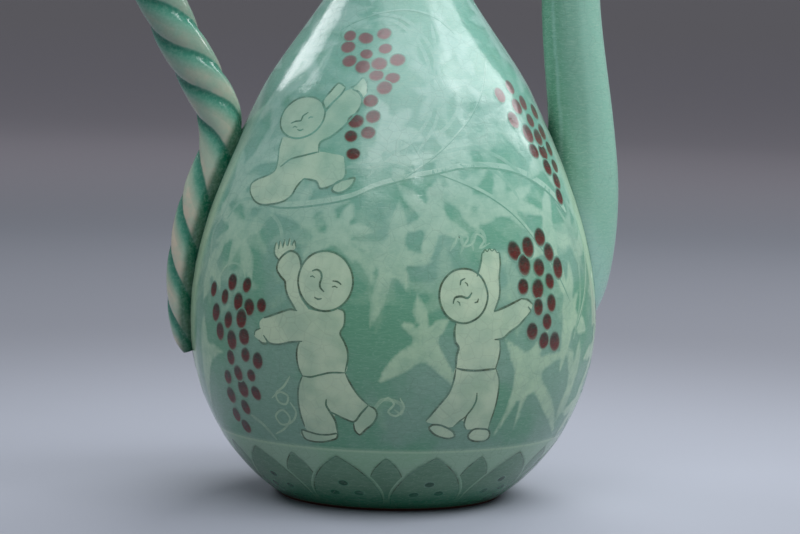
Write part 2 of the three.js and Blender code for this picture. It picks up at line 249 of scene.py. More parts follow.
def throw(name, outline, steps=WHEEL_STEPS):
    """Turns an outline, closed at the axis or in itself, once round the axis."""
    bpy.ops.mesh.primitive_circle_add(vertices=len(outline), fill_type="NOTHING")
    piece = bpy.context.object
    piece.name = name
    for corner, place in zip(piece.data.vertices, outline):
        corner.co = (place[0], 0, place[1])
    bpy.ops.object.mode_set(mode="EDIT")
    bpy.ops.mesh.select_all(action="SELECT")
    bpy.ops.mesh.spin(steps=steps, angle=math.tau, center=(0, 0, 0), axis=(0, 0, 1))
    bpy.ops.mesh.select_all(action="SELECT")
    bpy.ops.mesh.remove_doubles(threshold=1e-6)
    bpy.ops.mesh.delete_loose(use_verts=True, use_edges=True, use_faces=False)
    bpy.ops.mesh.select_all(action="SELECT")
    bpy.ops.mesh.normals_make_consistent(inside=False)
    bpy.ops.object.mode_set(mode="OBJECT")
    smooth_by_angle(piece)
    return piece


def dress(piece, material, slot, body, *nodes):
    """Gives a piece its glaze, and puts it in the place of its node on the body."""
    piece.data.materials.append(material)
    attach(piece, body)
    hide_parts(*nodes)


class Wire:
    """A shader socket that can be used in sums."""

    def __init__(self, mixer, socket):
        self.mixer = mixer
        self.socket = socket

    def sum(self, operation, *values):
        return self.mixer.node("ShaderNodeMath", values, operation=operation)

    def __add__(self, other):
        return self.sum("ADD", self, other)

    __radd__ = __add__

    def __sub__(self, other):
        return self.sum("SUBTRACT", self, other)

    def __rsub__(self, other):
        return self.sum("SUBTRACT", other, self)

    def __mul__(self, other):
        return self.sum("MULTIPLY", self, other)

    def __truediv__(self, other):
        return self.sum("DIVIDE", self, other)

    def between(self, low, high):
        """0 below low, 1 above high, and a soft step from one to the other."""
        return self.mixer.node("ShaderNodeMapRange", (self, low, high),
                               interpolation_type="SMOOTHSTEP")


class Mixer:
    """The shader tree of one glaze. seen is its colour so far, ground the bare glaze's."""

    def __init__(self, name):
        self.material = bpy.data.materials.new(name)
        self.material.use_nodes = True
        self.tree = self.material.node_tree
        self.shader = self.tree.nodes["Principled BSDF"]
        self.where = self.node("ShaderNodeTexCoord", out=3)
        self.height = self.node("ShaderNodeSeparateXYZ", (self.where,), out=2)
        self.seen = self.ground = None

    def node(self, kind, values=(), out=0, **settings):
        """Adds a node, its settings first and then its sockets by place or by name."""
        made = self.tree.nodes.new(kind)
        for key, setting in settings.items():
            setattr(made, key, setting)
        pairs = values.items() if isinstance(values, dict) else enumerate(values)
        for key, value in pairs:
            if isinstance(value, Wire):
                self.tree.links.new(value.socket, made.inputs[key])
            else:
                made.inputs[key].default_value = value
        return Wire(self, made.outputs[out])

    def blend(self, share, first, second):
        """Colour mixed from first to second by a share."""
        return self.node("ShaderNodeMix", {0: share, 6: first, 7: second}, out=2, data_type="RGBA")

    def over(self, share, colour):
        """Lays a share of a colour over what is seen so far."""
        self.seen = self.blend(share, self.seen, colour)

    def noise(self, size, detail=2.0, rough=0.5, where=None):
        return self.node("ShaderNodeTexNoise", {"Vector": where or self.where, "Scale": 1 / size,
                                                "Detail": detail, "Roughness": rough})

    def bump(self, strength, height):
        return self.node("ShaderNodeBump",
                         {"Strength": strength, "Distance": MM, "Height": height})

    def cracks(self, size, where=None):
        """Distance from the nearest crack of a net of them."""
        return self.node("ShaderNodeTexVoronoi",
                         {"Vector": where or self.where, "Scale": 1 / size},
                         feature="DISTANCE_TO_EDGE")

    def attribute(self, name):
        return self.node("ShaderNodeAttribute", attribute_name=name, out=2)

    def feed(self, **sockets):
        for key, value in sockets.items():
            target = self.shader.inputs[key.replace("_", " ")]
            if isinstance(value, Wire):
                self.tree.links.new(value.socket, target)
            else:
                target.default_value = value


def tint(red, green, blue):
    """A colour as it is seen, 0 to 255, for a shader socket."""
    return tuple((c / 255 / 12.92 if c <= 10 else ((c / 255 + 0.055) / 1.055) ** 2.4)
                 for c in (red, green, blue)) + (1.0,)


GREEN_DEEP = tint(97, 157, 124)
GREEN_GREY = tint(123, 163, 141)
# The next green is painted light, laid over the upper body.
GREEN_PAINTED_LIGHT = tint(126, 184, 170)
GREEN_PALE = tint(150, 202, 180)
# The next green is painted shade, on the spout.
GREEN_PAINTED_SHADE = tint(50, 124, 88)
# The next green is glaze pooled in the joints, and on the spout also painted shade.
GREEN_POOL_AND_SHADE = tint(6, 92, 64)
GREEN_FOOT = tint(8, 122, 86)
SLIP_LOW = tint(182, 212, 176)
# The next slip colour also serves as painted highlight on the spout.
SLIP_HIGH_AND_HIGHLIGHT = tint(166, 206, 197)
BARE_CLAY = tint(84, 44, 30)
CRACK_PALE = tint(186, 216, 198)
CRACK_DARK = tint(74, 104, 86)


def glaze(name, under=None, cover=1.0, craze=1.0, wash=0.0, band=False, bare=True,
          seams=True, spout_light_and_shade=False):
    """Celadon. under gives the colour of what lies beneath it, which the edge attribute
    fades out at its rim; cover is how much of it shows through, craze how much the
    glaze over it is crackled, and wash how much paler it is made, on the spout painted light."""
    mixer = Mixer(name)
    height = mixer.height
    cloud = mixer.noise(0.035, 3)
    mottle = mixer.noise(0.006, 4, 0.6)
    grain = mixer.noise(0.0011, 2, 0.6)
    flat = mixer.node("ShaderNodeVectorMath", (mixer.where, (1, 1, 9)), operation="MULTIPLY")
    hoops = mixer.noise(0.006, 3, 0.7, flat)
    mixer.seen = mixer.blend(cloud.between(0.4, 0.6), GREEN_DEEP, GREEN_GREY)
    # Painted light: the glaze is made paler higher up, from about 70 to 210 mm, where the light
    # from above falls; the ground colour taken below keeps this painted light.
    mixer.over((height + cloud * 0.05).between(0.07, 0.21) * 0.8, GREEN_PAINTED_LIGHT)
    mixer.over(mottle.between(0.45, 0.8) * 0.3, GREEN_DEEP)
    mixer.ground = mixer.seen
    if wash:
        mixer.over(wash, GREEN_PALE)
    if band:
        from_edge = height - BAND_Z
        below = 1 - (height + grain * 0.0004).between(BAND_Z, BAND_Z + 0.0005)
        edge = 1 - (from_edge * from_edge).between(0.0, 0.0012 ** 2)
        mixer.over(below * 0.45 + edge * 0.25, SLIP_LOW)
    if under:
        rim = mixer.attribute("edge") + (mottle - 0.5) * 0.8
        mixer.over(rim.between(0.0, 0.95) * cover, under(mixer))
    if spout_light_and_shade:
        # Painted light and shade along the spout, by its side from the body side (-1) to the outer
        # rim (1) and by nearness to the seam.
        side = mixer.attribute("side") + (mottle - 0.5) * 0.12
        near = 1 - mixer.attribute("seam").between(1.0, 9.0)
        gleam = side.between(-0.8, -0.72) * (1 - side.between(-0.72, -0.62))
        # Painted shade: darker green down the side of the spout that faces the body, deepest at
        # that edge, and a little over the whole half towards the body.
        mixer.over((1 - side.between(-0.9, -0.2)) * 0.5, GREEN_PAINTED_SHADE)
        mixer.over((1 - side.between(-0.05, 0.25)) * 0.25, GREEN_PAINTED_SHADE)
        # Painted highlights: a thin pale streak near the body side and a pale line along the outer
        # rim.
        mixer.over(gleam * 0.35, SLIP_HIGH_AND_HIGHLIGHT)
        mixer.over(side.between(0.9, 1.0) * 0.5, SLIP_HIGH_AND_HIGHLIGHT)
        # Painted shade next to the seam where the spout meets the body, from about 130 mm up;
        # lower down the glaze is paler next to the seam.
        mixer.over(near * height.between(0.126, 0.15) * 0.6, GREEN_POOL_AND_SHADE)
        mixer.over(near * (1 - height.between(0.11, 0.135)) * 0.6, SLIP_HIGH_AND_HIGHLIGHT)
    if seams:
        seam = mixer.attribute("seam") + (mottle - 0.5) * 1.2
        ridge = seam.between(1.8, 3.2) * (1 - seam.between(10.0, 16.0))
        mixer.over(ridge * 0.9, mixer.blend(height.between(0.1, 0.19), SLIP_LOW, SLIP_HIGH_AND_HIGHLIGHT))
        mixer.over((1 - seam.between(1.0, 3.6)) * 0.85, GREEN_POOL_AND_SHADE)
    if bare:
        pool = 1 - (height + mottle * 0.004).between(0.004, 0.0155)
        mixer.over(pool * 0.92, GREEN_FOOT)
    cells = mixer.cracks(0.0048)
    crack = (1 - cells.between(0.0, 0.04)) * cloud.between(0.3, 0.6)
    mixer.over(crack * 0.16, CRACK_DARK)
    mixer.over((1 - mixer.cracks(0.0042, flat).between(0.0, 0.09)) * 0.15 * craze, CRACK_PALE)
    mixer.over(hoops.between(0.4, 0.75) * 0.09 * craze, CRACK_PALE)
    mixer.over(grain.between(0.5, 0.8) * 0.1, GREEN_DEEP)
    rough = 0.08 + mottle * 0.12
    if bare:
        clay = 1 - (height + grain * 0.0006).between(0.0012, 0.0018)
        mixer.over(clay, BARE_CLAY)
        rough = rough + clay * 0.6
    swell = mixer.noise(0.018, 2) * 0.8 + mottle * 0.4 + grain * 0.07 - crack * 0.05 + hoops * 0.04
    bump = mixer.bump(0.3, swell)
    mixer.feed(Base_Color=mixer.seen, Roughness=rough, Normal=bump, IOR=GLAZE_IOR)
    return mixer.material


floor_z = FOOT_RECESS + FLOOR_THICK
recess_r = FOOT_R - FOOT_RING_W
inner_line = [p for p in offset(lower_line, -LOWER_WALL)[::3] if floor_z < p.y < WAIST_Z]
lower_outline = [
    (0, FOOT_RECESS),
    (recess_r, FOOT_RECESS),
    (recess_r + FOOT_RECESS, 0),
    (FOOT_R - FOOT_EDGE, 0),
    *lower_line,
    (WAIST_R - LOWER_WALL, WAIST_Z),
    *reversed(inner_line),
    (inner_line[0].x - LOWER_WALL, floor_z),
    (0, floor_z),
]
lower_bulb = throw("lower_bulb_thrown", lower_outline)
mark_seams(lower_bulb)
dress(lower_bulb, glaze("celadon_body", band=True), "celadon_glaze", "ewer", "lower_bulb")

# Slip inlay. Vine leaves, three boys among grapes and a lotus band, cut into the leather-hard
# wall, filled with slip, outlined in iron and spotted in copper red, under the same glaze.
# Each is a thin closed piece bent to the wall; the far side carries the same picture again.
INLAY_DEPTH = 0.15
RUN_STEP = 0.5
CELL = 2.8
SOFT_CELL = 1.7
ARM_WIDTH = 3.6
ARM_SPREAD = (0.75, 1.3)
ARM_WAIST = (0.5, 0.62)
ARM_BEND = 0.8
ARM_ROOM = 0.24
WIDE_GAP = 2.1
LEAF_SOFT = 1.6
LEAF_GROW = 1.12
LEAF_ROWS = (104, 21)
LEAF_ROW_STEP = 30
SIDE_LEAF_ROWS = (52, 24)
SIDE_LEAVES = (-182, -18)
SHOULDER_RUN = 240
SHOULDER_LEAVES = (-160, -115, -70, -25)
LEAF_TOP = 12
LEAF_REACH = 50
LEAF_LIFT = 0.012
LEAF_LIFT_STEP = 0.0005
VINE_LIFT = 0.055
TENDRIL_LIFT = 0.06
VEIN_LIFT = 0.065
BOY_LIFT = 0.075
BOY_LIFT_STEP = 0.003
LINE_LIFT = 0.135
SPOT_SIDES = 16

wall_run = [0.0]
for before, after in zip(wall_line, wall_line[1:]):
    wall_run.append(wall_run[-1] + (after - before).length / MM)
wall_table = []
for i in range(len(wall_line) - 1):
    while len(wall_table) * RUN_STEP < wall_run[i + 1]:
        t = (len(wall_table) * RUN_STEP - wall_run[i]) / (wall_run[i + 1] - wall_run[i])
        p = wall_line[i].lerp(wall_line[i + 1], t)
        ahead = wall_line[min(i + 2, len(wall_line) - 1)] - wall_line[max(i - 1, 0)]
        ahead.normalize()
        wall_table.append((p.x, p.y, ahead.y, -ahead.x))


def on_wall(angle, run, lift):
    """Place and direction out of the wall at an angle and a length up its outline."""
    i = min(max(int(run / RUN_STEP), 0), len(wall_table) - 2)
    t = min(max(run / RUN_STEP - i, 0), 1)
    r, z, out, up = (a + (b - a) * t for a, b in zip(wall_table[i], wall_table[i + 1]))
    r += out * lift * MM
    z += up * lift * MM
    c, s = math.cos(angle), math.sin(angle)
    return (r * c, r * s, z), (out * c, out * s, up)


def wall_radius(run):
    """Radius of the wall at a length up its outline, in millimetres."""
    return wall_table[min(max(int(run / RUN_STEP), 0), len(wall_table) - 1)][0] / MM


def cut_out(outline, soft=0.0):
    """A flat shape cut into cells small enough to bend: its corners with their edge
    weight, which rises from 0 to 1 over a soft rim, its faces and its outer edges."""
    shape = bmesh.new()
    face = shape.faces.new([shape.verts.new((p.x, p.y, 0)) for p in outline])
    face.normal_update()
    if face.normal.z < 0:
        face.normal_flip()
    cell = SOFT_CELL if soft else CELL
    for axis in (0, 1):
        spread = [corner.co[axis] for corner in shape.verts]
        way = Vector((0, 0, 0))
        way[axis] = 1
        for n in range(math.ceil(min(spread) / cell), math.ceil(max(spread) / cell)):
            bmesh.ops.bisect_plane(shape, geom=shape.verts[:] + shape.edges[:] + shape.faces[:],
                                   dist=1e-5, plane_co=way * n * cell, plane_no=way)
    bmesh.ops.triangulate(shape, faces=shape.faces[:])
    shape.verts.index_update()
    corners = []
    for v in shape.verts:
        away = min(math.dist(v.co.xy, p) for p in outline) if soft and not v.is_boundary else 0
        corners.append((v.co.x, v.co.y, min(away / soft, 1.0) if soft else 1.0))
    faces = [[v.index for v in f.verts] for f in shape.faces]
    edges = []
    for f in shape.faces:
        for loop in f.loops:
            if loop.edge.is_boundary:
                edges.append((loop.vert.index, loop.link_loop_next.vert.index))
    shape.free()
    return corners, faces, edges


def ribbon(points, width, closed=False, taper=0.5):
    """A flat line of even width along points, thinner at its ends if it is open."""
    line = rounded(points, closed)
    corners, faces, edges = [], [], []
    count = len(line)
    for i, p in enumerate(line):
        before = line[i - 1] if closed or i else line[0]
        after = line[(i + 1) % count] if closed or i < count - 1 else line[-1]
        along = after - before
        along.normalize()
        side = Vector((-along.y, along.x))
        ends = 1.0 if closed else min(1.0, taper + min(i, count - 1 - i) / 5)
        half = width / 2 * ends
        corners.append((p.x + side.x * half, p.y + side.y * half, 1.0))
        corners.append((p.x - side.x * half, p.y - side.y * half, 1.0))
    for i in range(count if closed else count - 1):
        a, b = 2 * i, 2 * ((i + 1) % count)
        faces.append([a + 1, b + 1, b, a])
        edges += [(a + 1, b + 1), (b, a)]
    if not closed:
        edges += [(0, 1), (2 * count - 1, 2 * count - 2)]
    return corners, faces, edges


def spot(across, high):
    """A flat oval with a soft rim."""
    corners, faces, edges = [(0, 0, 1.0)], [], []
    for share, depth in ((0.55, 1.0), (0.8, 0.7), (1.0, 0.0)):
        for i in range(SPOT_SIDES):
            a = math.tau * i / SPOT_SIDES
            corners.append((across * share * math.cos(a), high * share * math.sin(a), depth))
    middle, outer = 1 + SPOT_SIDES, 1 + 2 * SPOT_SIDES
    for i in range(SPOT_SIDES):
        j = (i + 1) % SPOT_SIDES
        faces.append([0, 1 + i, 1 + j])
        for ring, after in ((1, middle), (middle, outer)):
            faces.append([ring + i, after + i, after + j, ring + j])
        edges.append((outer + i, outer + j))
    return corners, faces, edges


class Inlay:
    """Thin closed shapes on the wall, gathered into one piece."""

    def __init__(self):
        self.places, self.normals, self.depths, self.rises, self.faces = [], [], [], [], []

    def lay(self, shape, at, lift, turn=0.0, shift=(0, 0), sides=(0, math.pi)):
        """Lays a shape with its middle at an angle and a run up the wall, on both sides."""
        corners, faces, edges = shape
        c, s = math.cos(turn), math.sin(turn)
        for far in sides:
            first = len(self.places)
            count = len(corners)
            for level in (lift, -INLAY_DEPTH):
                for x, y, depth in corners:
                    self.rises.append(y)
                    x, y = x * c - y * s + shift[0], x * s + y * c + shift[1]
                    run = at[1] + y
                    angle = math.radians(at[0]) + x / wall_radius(run) + far
                    place, out = on_wall(angle, run, level)
                    self.places.append(place)
                    self.normals.append(out)
                    self.depths.append(depth)
            for face in faces:
                self.faces.append([first + i for i in face])
                self.faces.append([first + count + i for i in reversed(face)])
            for a, b in edges:
                self.faces.append([first + b, first + a, first + count + a, first + count + b])

    def fire(self, name, material, *nodes):
        """Makes the piece, shaded like the wall it lies in."""
        piece = shape_piece(name, self.places, self.faces)
        mark(piece, edge=self.depths, rise=self.rises)
        mark_seams(piece)
        piece.data.polygons.foreach_set("use_smooth", [True] * len(piece.data.polygons))
        piece.data.normals_split_custom_set_from_vertices(self.normals)
        dress(piece, material, "celadon_glaze", "ewer", *(nodes or ("lower_bulb",)))


def drawn(*lines):
    """Drawn lines, each given as the places of its points across and up, in tenths
    of a millimetre, or of a degree and a millimetre."""
    return [[(x / 10, y / 10) for x, y in zip(line[::2], line[1::2])] for line in lines]


REACHING_BOY = {
    "at": (-114, 75),
    "shapes": drawn(
        (118, 327, 108, 268, 70, 223, 15, 205, -44, 217, -89, 257, -110, 315, -100, 375, -60, 421,
         -4, 440, 53, 427, 98, 385),
        (-213, 356, -207, 389, -184, 416, -156, 431, -125, 422, -105, 392, -104, 363, -112, 330,
         -109, 286, -95, 251, -70, 222, -57, 203, -90, 193, -113, 203, -132, 227, -152, 254, -164,
         283, -170, 311, -191, 328),
        (-210, 395, -230, 412, -234, 439, -226, 461, -214, 440, -209, 468, -197, 443, -191, 479,
         -178, 448, -165, 483, -159, 451, -144, 473, -135, 445, -156, 428, -182, 416),
        (-57, 206, -106, 200, -135, 203, -182, 188, -225, 172, -266, 158, -283, 141, -281, 120,
         -270, 101, -250, 77, -222, 61, -178, 63, -135, 74, -78, 79, -38, 124),
        (-280, 115, -302, 104, -311, 87, -290, 72, -265, 58, -240, 62, -250, 86),
        (-106, 201, -59, 208, -10, 202, 35, 207, 64, 217, 89, 209, 94, 182, 91, 149, 77, 122, 93,
         91, 106, 59, 109, 26, 96, -34, 36, -37, -10, -49, -49, -59, -81, -58, -95, -35, -104, 2,
         -104, 36, -94, 69, -82, 85),
        (-81, -58, -10, -49, 96, -34, 111, -67, 128, -100, 150, -134, 178, -164, 148, -202, 116,
         -240, 83, -230, 47, -213, 37, -222, 43, -257, 44, -297, -3, -308, -50, -308, -82, -298,
         -95, -277, -104, -232, -109, -183, -108, -135, -99, -92),
        (-110, -296, -82, -300, -42, -309, 1, -308, 42, -300, 38, -318, 13, -333, -24, -344, -69,
         -346, -102, -335, -118, -317),
        (181, -164, 205, -181, 211, -207, 193, -243, 161, -272, 131, -299, 117, -282, 115, -259,
         121, -238, 148, -202),
    ),
    "rings": drawn(
        (118, 327, 113, 282, 92, 243, 57, 216, 15, 205, -29, 211, -69, 234, -97, 271, -110, 315,
         -104, 361, -83, 401, -48, 429, -4, 440, 39, 433, 78, 409, 105, 372),
        (-110, -296, -82, -300, -42, -309, 1, -308, 42, -300, 37, -320, 13, -333, -24, -344, -69,
         -346, -102, -335),
    ),
    "strokes": drawn(
        (-103, 365, -106, 392, -125, 422, -156, 431, -184, 416, -207, 389, -213, 356, -191, 328,
         -170, 311, -164, 283, -152, 254, -132, 227, -110, 199),
        (-103, 365, -109, 337, -110, 308),
        (-206, 392, -230, 412, -234, 439, -228, 460),
        (-214, 434, -211, 468),
        (-194, 441, -189, 477),
        (-172, 449, -166, 482),
        (-152, 452, -144, 473, -133, 445),
        (-106, 199, -135, 203, -182, 188, -225, 172, -262, 159),
        (-255, 84, -234, 64, -187, 61, -135, 74, -80, 81),
        (-277, 117, -306, 103, -308, 87),
        (-287, 70, -265, 58, -241, 63, -262, 91),
        (-94, 78, -104, 47, -104, 2, -95, -35, -81, -60),
        (63, 217, 88, 210, 94, 182, 91, 149, 77, 123, 93, 91, 106, 59, 109, 26, 96, -31),
        (-81, -58, -49, -60, -10, -49, 36, -37, 96, -34),
        (-84, -61, -99, -92, -108, -135, -109, -183, -104, -232, -94, -278),
        (13, -148, 10, -174, 24, -203, 41, -241, 44, -296),
        (96, -34, 111, -68, 128, -100, 150, -132, 180, -164),
        (17, -197, 47, -213, 83, -230, 116, -240, 148, -202, 180, -166),
        (181, -166, 205, -181, 211, -207, 193, -243, 161, -272, 131, -299, 116, -281, 114, -249),
        (-53, 358, -34, 365, -17, 357, -10, 337, -16, 310, -12, 294, 4, 280),
        (36, 324, 56, 322, 72, 311),
        (-59, 336, -49, 339, -39, 333),
        (35, 300, 46, 304, 58, 298),
        (-35, 257, -20, 250, -4, 253),
    ),
}
DANCING_BOY = {
    "at": (-74, 75),
    "shapes": drawn(
        (80, 272, 64, 219, 25, 181, -25, 168, -75, 183, -110, 223, -122, 276, -106, 329, -70, 368,
         -18, 381, 31, 366, 68, 326),
        (36, 351, 48, 378, 59, 413, 63, 436, 82, 453, 109, 456, 133, 447, 143, 426, 143, 391, 135,
         344, 134, 305, 132, 267, 120, 236, 106, 207, 75, 199, 57, 215, 76, 261, 65, 315),
        (75, 184, 106, 207, 146, 222, 194, 239, 239, 254, 268, 248, 295, 228, 284, 205, 264, 185,
         222, 149, 180, 127, 147, 103, 113, 98, 75, 122),
        (-56, 170, -19, 171, 24, 185, 57, 215, 106, 207, 128, 151, 134, 100, 138, 64, 133, 25, 122,
         -18, 83, -19, 31, -20, -20, -16, -50, -9, -50, 39, -43, 74, -57, 94, -62, 137),
        (-50, -9, 31, -20, 123, -17, 143, -64, 145, -118, 140, -182, 131, -234, 127, -277, 66,
         -273, 24, -271, 11, -236, -10, -234, -30, -257, -55, -261, -98, -247, -146, -231, -127,
         -199, -103, -162, -71, -114, -56, -65),
        (-129, -260, -119, -249, -89, -249, -50, -266, -24, -285, -17, -305, -37, -313, -71, -307,
         -106, -289),
        (44, -293, 59, -275, 102, -275, 130, -284, 139, -313, 127, -331, 87, -334, 53, -323, 41,
         -308),
    ),
    "rings": drawn(
        (80, 272, 70, 232, 47, 198, 13, 176, -25, 168, -63, 177, -95, 200, -115, 235, -122, 276,
         -114, 316, -90, 351, -58, 374, -18, 381, 20, 373, 52, 349, 72, 313),
        (-129, -260, -119, -249, -89, -249, -50, -266, -24, -285, -17, -305, -37, -313, -71, -307,
         -106, -289),
        (44, -293, 59, -275, 102, -275, 130, -284, 139, -313, 127, -331, 87, -334, 53, -323, 41,
         -308),
    ),
    "strokes": drawn(
        (36, 349, 48, 378, 59, 413, 63, 436, 68, 446),
        (70, 441, 78, 455, 87, 446),
        (88, 445, 99, 458, 109, 447),
        (110, 447, 121, 456, 130, 442),
        (130, 441, 141, 441, 143, 426, 143, 391, 135, 344, 136, 305, 132, 267, 120, 236, 107, 212),
        (107, 210, 146, 222, 194, 239, 238, 255),
        (110, 100, 147, 103, 180, 127, 222, 149, 267, 187),
        (238, 255, 270, 250, 297, 230),
        (267, 187, 286, 205, 272, 222),
        (-56, 168, -62, 139, -57, 95, -43, 74, -50, 39, -50, -9),
        (133, 101, 138, 64, 133, 25, 121, -18),
        (-48, -9, -20, -16, 31, -21, 83, -19, 123, -17),
        (-50, -12, -56, -65, -71, -114, -103, -162, -127, -199, -146, -229),
        (49, -113, 49, -149, 35, -183, 17, -212, 15, -255, 27, -273),
        (17, -212, -8, -234, -30, -258),
        (124, -19, 143, -64, 145, -118, 140, -182, 131, -234, 126, -277),
        (-67, 245, -60, 267, -33, 273, -6, 266, 12, 287),
        (-36, 316, -32, 334, -14, 343),
        (-16, 328, -7, 322, -4, 312),
        (-50, 254, -41, 248, -39, 237),
        (22, 247, 35, 250, 39, 263),
    ),
}
CLIMBING_BOY = {
    "at": (-128, 155),
    "shapes": drawn(
        (19, 253, 45, 214, 47, 167, 22, 124, -23, 98, -79, 94, -134, 114, -170, 153, -173, 200,
         -140, 243, -86, 270, -28, 274),
        (22, 135, 45, 201, 71, 250, 98, 298, 132, 317, 165, 303, 189, 270, 187, 230, 167, 190, 141,
         149, 104, 109, 63, 80, 69, 34, 16, 40),
        (139, 307, 143, 334, 163, 369, 189, 342, 199, 303, 182, 276),
        (22, 260, 46, 305, 68, 340, 102, 327, 99, 297, 63, 250, 44, 223),
        (-131, 91, -75, 92, -22, 105, 22, 135, 81, 106, 63, 78, 71, 34, 4, 22, -55, 3, -99, -32,
         -122, -47, -121, -8, -133, 47),
        (-112, -35, -55, 3, 4, 22, 67, 41, 129, 36, 181, 24, 199, -15, 205, -61, 174, -89, 116,
         -110, 93, -83, 32, -74, 9, -109, -9, -149, -39, -172, -102, -189, -164, -192, -206, -176,
         -242, -141, -247, -114, -213, -92, -161, -73),
        (166, -101, 180, -81, 222, -66, 247, -62, 244, -90, 219, -117, 191, -125, 168, -116),
    ),
    "rings": drawn(
        (19, 253, 41, 225, 49, 190, 43, 155, 22, 124, -11, 103, -52, 93, -94, 97, -134, 114, -164,
         142, -175, 176, -167, 212, -140, 243, -100, 266, -56, 275, -15, 270),
        (166, -101, 180, -81, 222, -66, 247, -62, 244, -90, 219, -117, 191, -125, 168, -116),
    ),
    "strokes": drawn(
        (102, 324, 68, 340, 46, 305, 22, 260, 44, 225, 65, 250, 98, 298, 103, 324),
        (136, 314, 165, 303, 189, 270, 187, 230, 167, 190, 141, 149, 104, 109, 63, 80, 69, 37),
        (126, 323, 143, 334, 163, 369, 189, 342, 199, 303),
        (-132, 91, -133, 47, -121, -8, -122, -47, -161, -73, -213, -92, -245, -114, -242, -141,
         -206, -176, -164, -192, -102, -189, -39, -172, -8, -147, 10, -105, 32, -74),
        (-99, -33, -55, 3, 4, 22, 67, 41),
        (183, 25, 199, -15, 205, -61, 174, -89, 116, -110, 92, -83, 33, -73),
        (-108, 155, -82, 166, -58, 170, -55, 189, -33, 207),
        (-91, 138, -81, 143, -68, 140),
        (-24, 181, -16, 188, -4, 187),
        (-64, 131, -48, 127, -34, 134),
    ),
}
GRAPES = [  # angle, run, middles of the berries
    (-144, 74, (-149, 254, -17, 294, 73, 290, -57, 231, 32, 221, 98, 205, 163, 217, -116, 164, -25,
     143, 57, 157, -81, 91, -1, 64, 74, 84, -15, -8, 78, 13, 143, -5, 22, -69, -53, -94, 98, -70,
     35, -132, 107, -143, -56, -171, 22, -215, -60, -259, -20, -308)),
    (-109, 186, (-100, 253, -30, 244, 42, 268, -99, 199, -14, 169, 58, 197, -81, 134, -20, 108, 45,
     125, 116, 144, 42, 69, 108, 60, 82, 15, 35, -43, -13, -132, 54, -111, -24, -197, 43, -180, -6,
     -271)),
    (-33, 164, (-41, 240, -134, 205, -51, 153, 15, 168, 104, 125, -113, 96, 17, 89, 95, 37, -50,
     35, 27, 16, -56, -41, 20, -47, 99, -39, 6, -114, 90, -112, 50, -175, 26, -240)),
    (-50, 103, (-121, 165, -46, 177, 32, 214, 72, 150, -81, 106, -1, 94, 118, 85, 55, 36, -98, 21,
     -20, 10, 56, -51, -23, -63, 26, -124, -59, -158, 9, -198, 77, -207)),
]
LEAVES = [  # angle, run, paleness, tips
    (-86, 86, 1, (-32, 163, -169, -170, 141, -198, 91, 77, -101, 61)),
    (-95, 118, 0.9, (19, 211, -163, 50, -81, -263, 61, -140, 152, -22)),
    (-84, 132, 0.95, (-119, 137, 42, 171, 150, -56, -41, -182, -115, -41)),
    (-76, 142, 0.8, (-123, 24, 88, -135, 150, 114, 5, 149, 195, -44)),
    (-60, 139, 0.85, (-166, -73, 85, -105, 179, 65, 13, 146, 227, -54)),
    (-45, 124, 1, (98, 202, 91, -255, -94, 29, 190, -20, -165, -88)),
    (-37, 93, 0.9, (23, 200, 150, -87, -51, -223, 83, 82)),
    (-55, 73, 0.95, (-87, -279, 4, -250, 285, -303, 236, 38, -110, 111, 102, 138)),
    (-32, 68, 0.7, (-25, -208, -106, 111, 18, 131)),
    (-146, 124, 0.85, (-212, 96, 133, 35, 117, -181, -32, -149, -172, -56)),
    (-124, 136, 0.7, (-154, -26, 105, -131, 190, 34, 15, 92)),
    (-111, 127, 0.9, (-134, -102, 68, -116, 135, 5, 43, 115, -80, 101)),
    (-102, 115, 0.6, (-105, 59, 20, -86, 112, -52, 58, 88)),
    (-158, 110, 0.8, (-31, -158, 72, 81, 105, -104)),
    (-159, 73, 0.7, (-7, 163, -92, -237, 145, 18)),
    (-156, 141, 0.7, (-75, 169, -51, -115, 154, 62, 217, -60)),
    (-148, 158, 0.7, (6, 141, -95, -120, 153, -34, 113, 68)),
    (-154, 182, 0.6, (14, 160, -72, -129, 124, 61, 86, -155)),
    (-150, 204, 0.7, (15, 179, -29, -155, 170, -137, 151, 35)),
    (-134, 222, 0.6, (-90, -101, 125, 43, 99, -143, 172, -72)),
    (-97, 170, 0.75, (-77, 135, 83, 96, -88, -163, 31, -201, 136, -48)),
    (-79, 186, 0.55, (-59, 155, 160, 54, 49, -155, -79, -130, -95, 16)),
    (-63, 211, 0.6, (-56, 134, 185, -29, 44, -180, -115, -134)),
    (-92, 208, 0.5, (-87, 123, 83, 108, 61, -149, -74, -124)),
    (-54, 177, 0.7, (-86, 123, 199, 30, 93, -175, -108, -171, -159, -42)),
    (-74, 162, 0.7, (-96, 76, 164, 50, 64, -93, -97, -100)),
    (-35, 157, 0.75, (-97, 125, 66, -167, -135, -80)),
    (-94, 157, 0.8, (-189, -22, -16, 50, 175, 19, 1, -100)),
    (-100, 56, 0.2, (-71, 82, 78, 62, 60, -88, -41, -83)),
    (-149, 223, 0.5, (-37, -61, 95, 51, 122, -105)),
]
VINES = drawn(
    (-1416, 1384, -1328, 1362, -1212, 1376, -1082, 1415, -1012, 1459, -921, 1494, -816, 1521, -724,
     1545, -610, 1544, -494, 1515, -372, 1432, -293, 1333),
    (-921, 1494, -834, 1570, -747, 1655, -657, 1749, -566, 1861, -456, 2008),
    (-816, 1521, -732, 1479, -641, 1420, -564, 1343, -495, 1233, -426, 1107, -369, 980),
    (-1317, 2141, -1202, 2192, -1043, 2233, -871, 2245, -697, 2209, -598, 2133),
    (-343, 855, -261, 1007, -211, 1165, -226, 1314),
)
VINE_WIDTHS = (2.8, 1.1, 1.8, 1.0, 1.8)
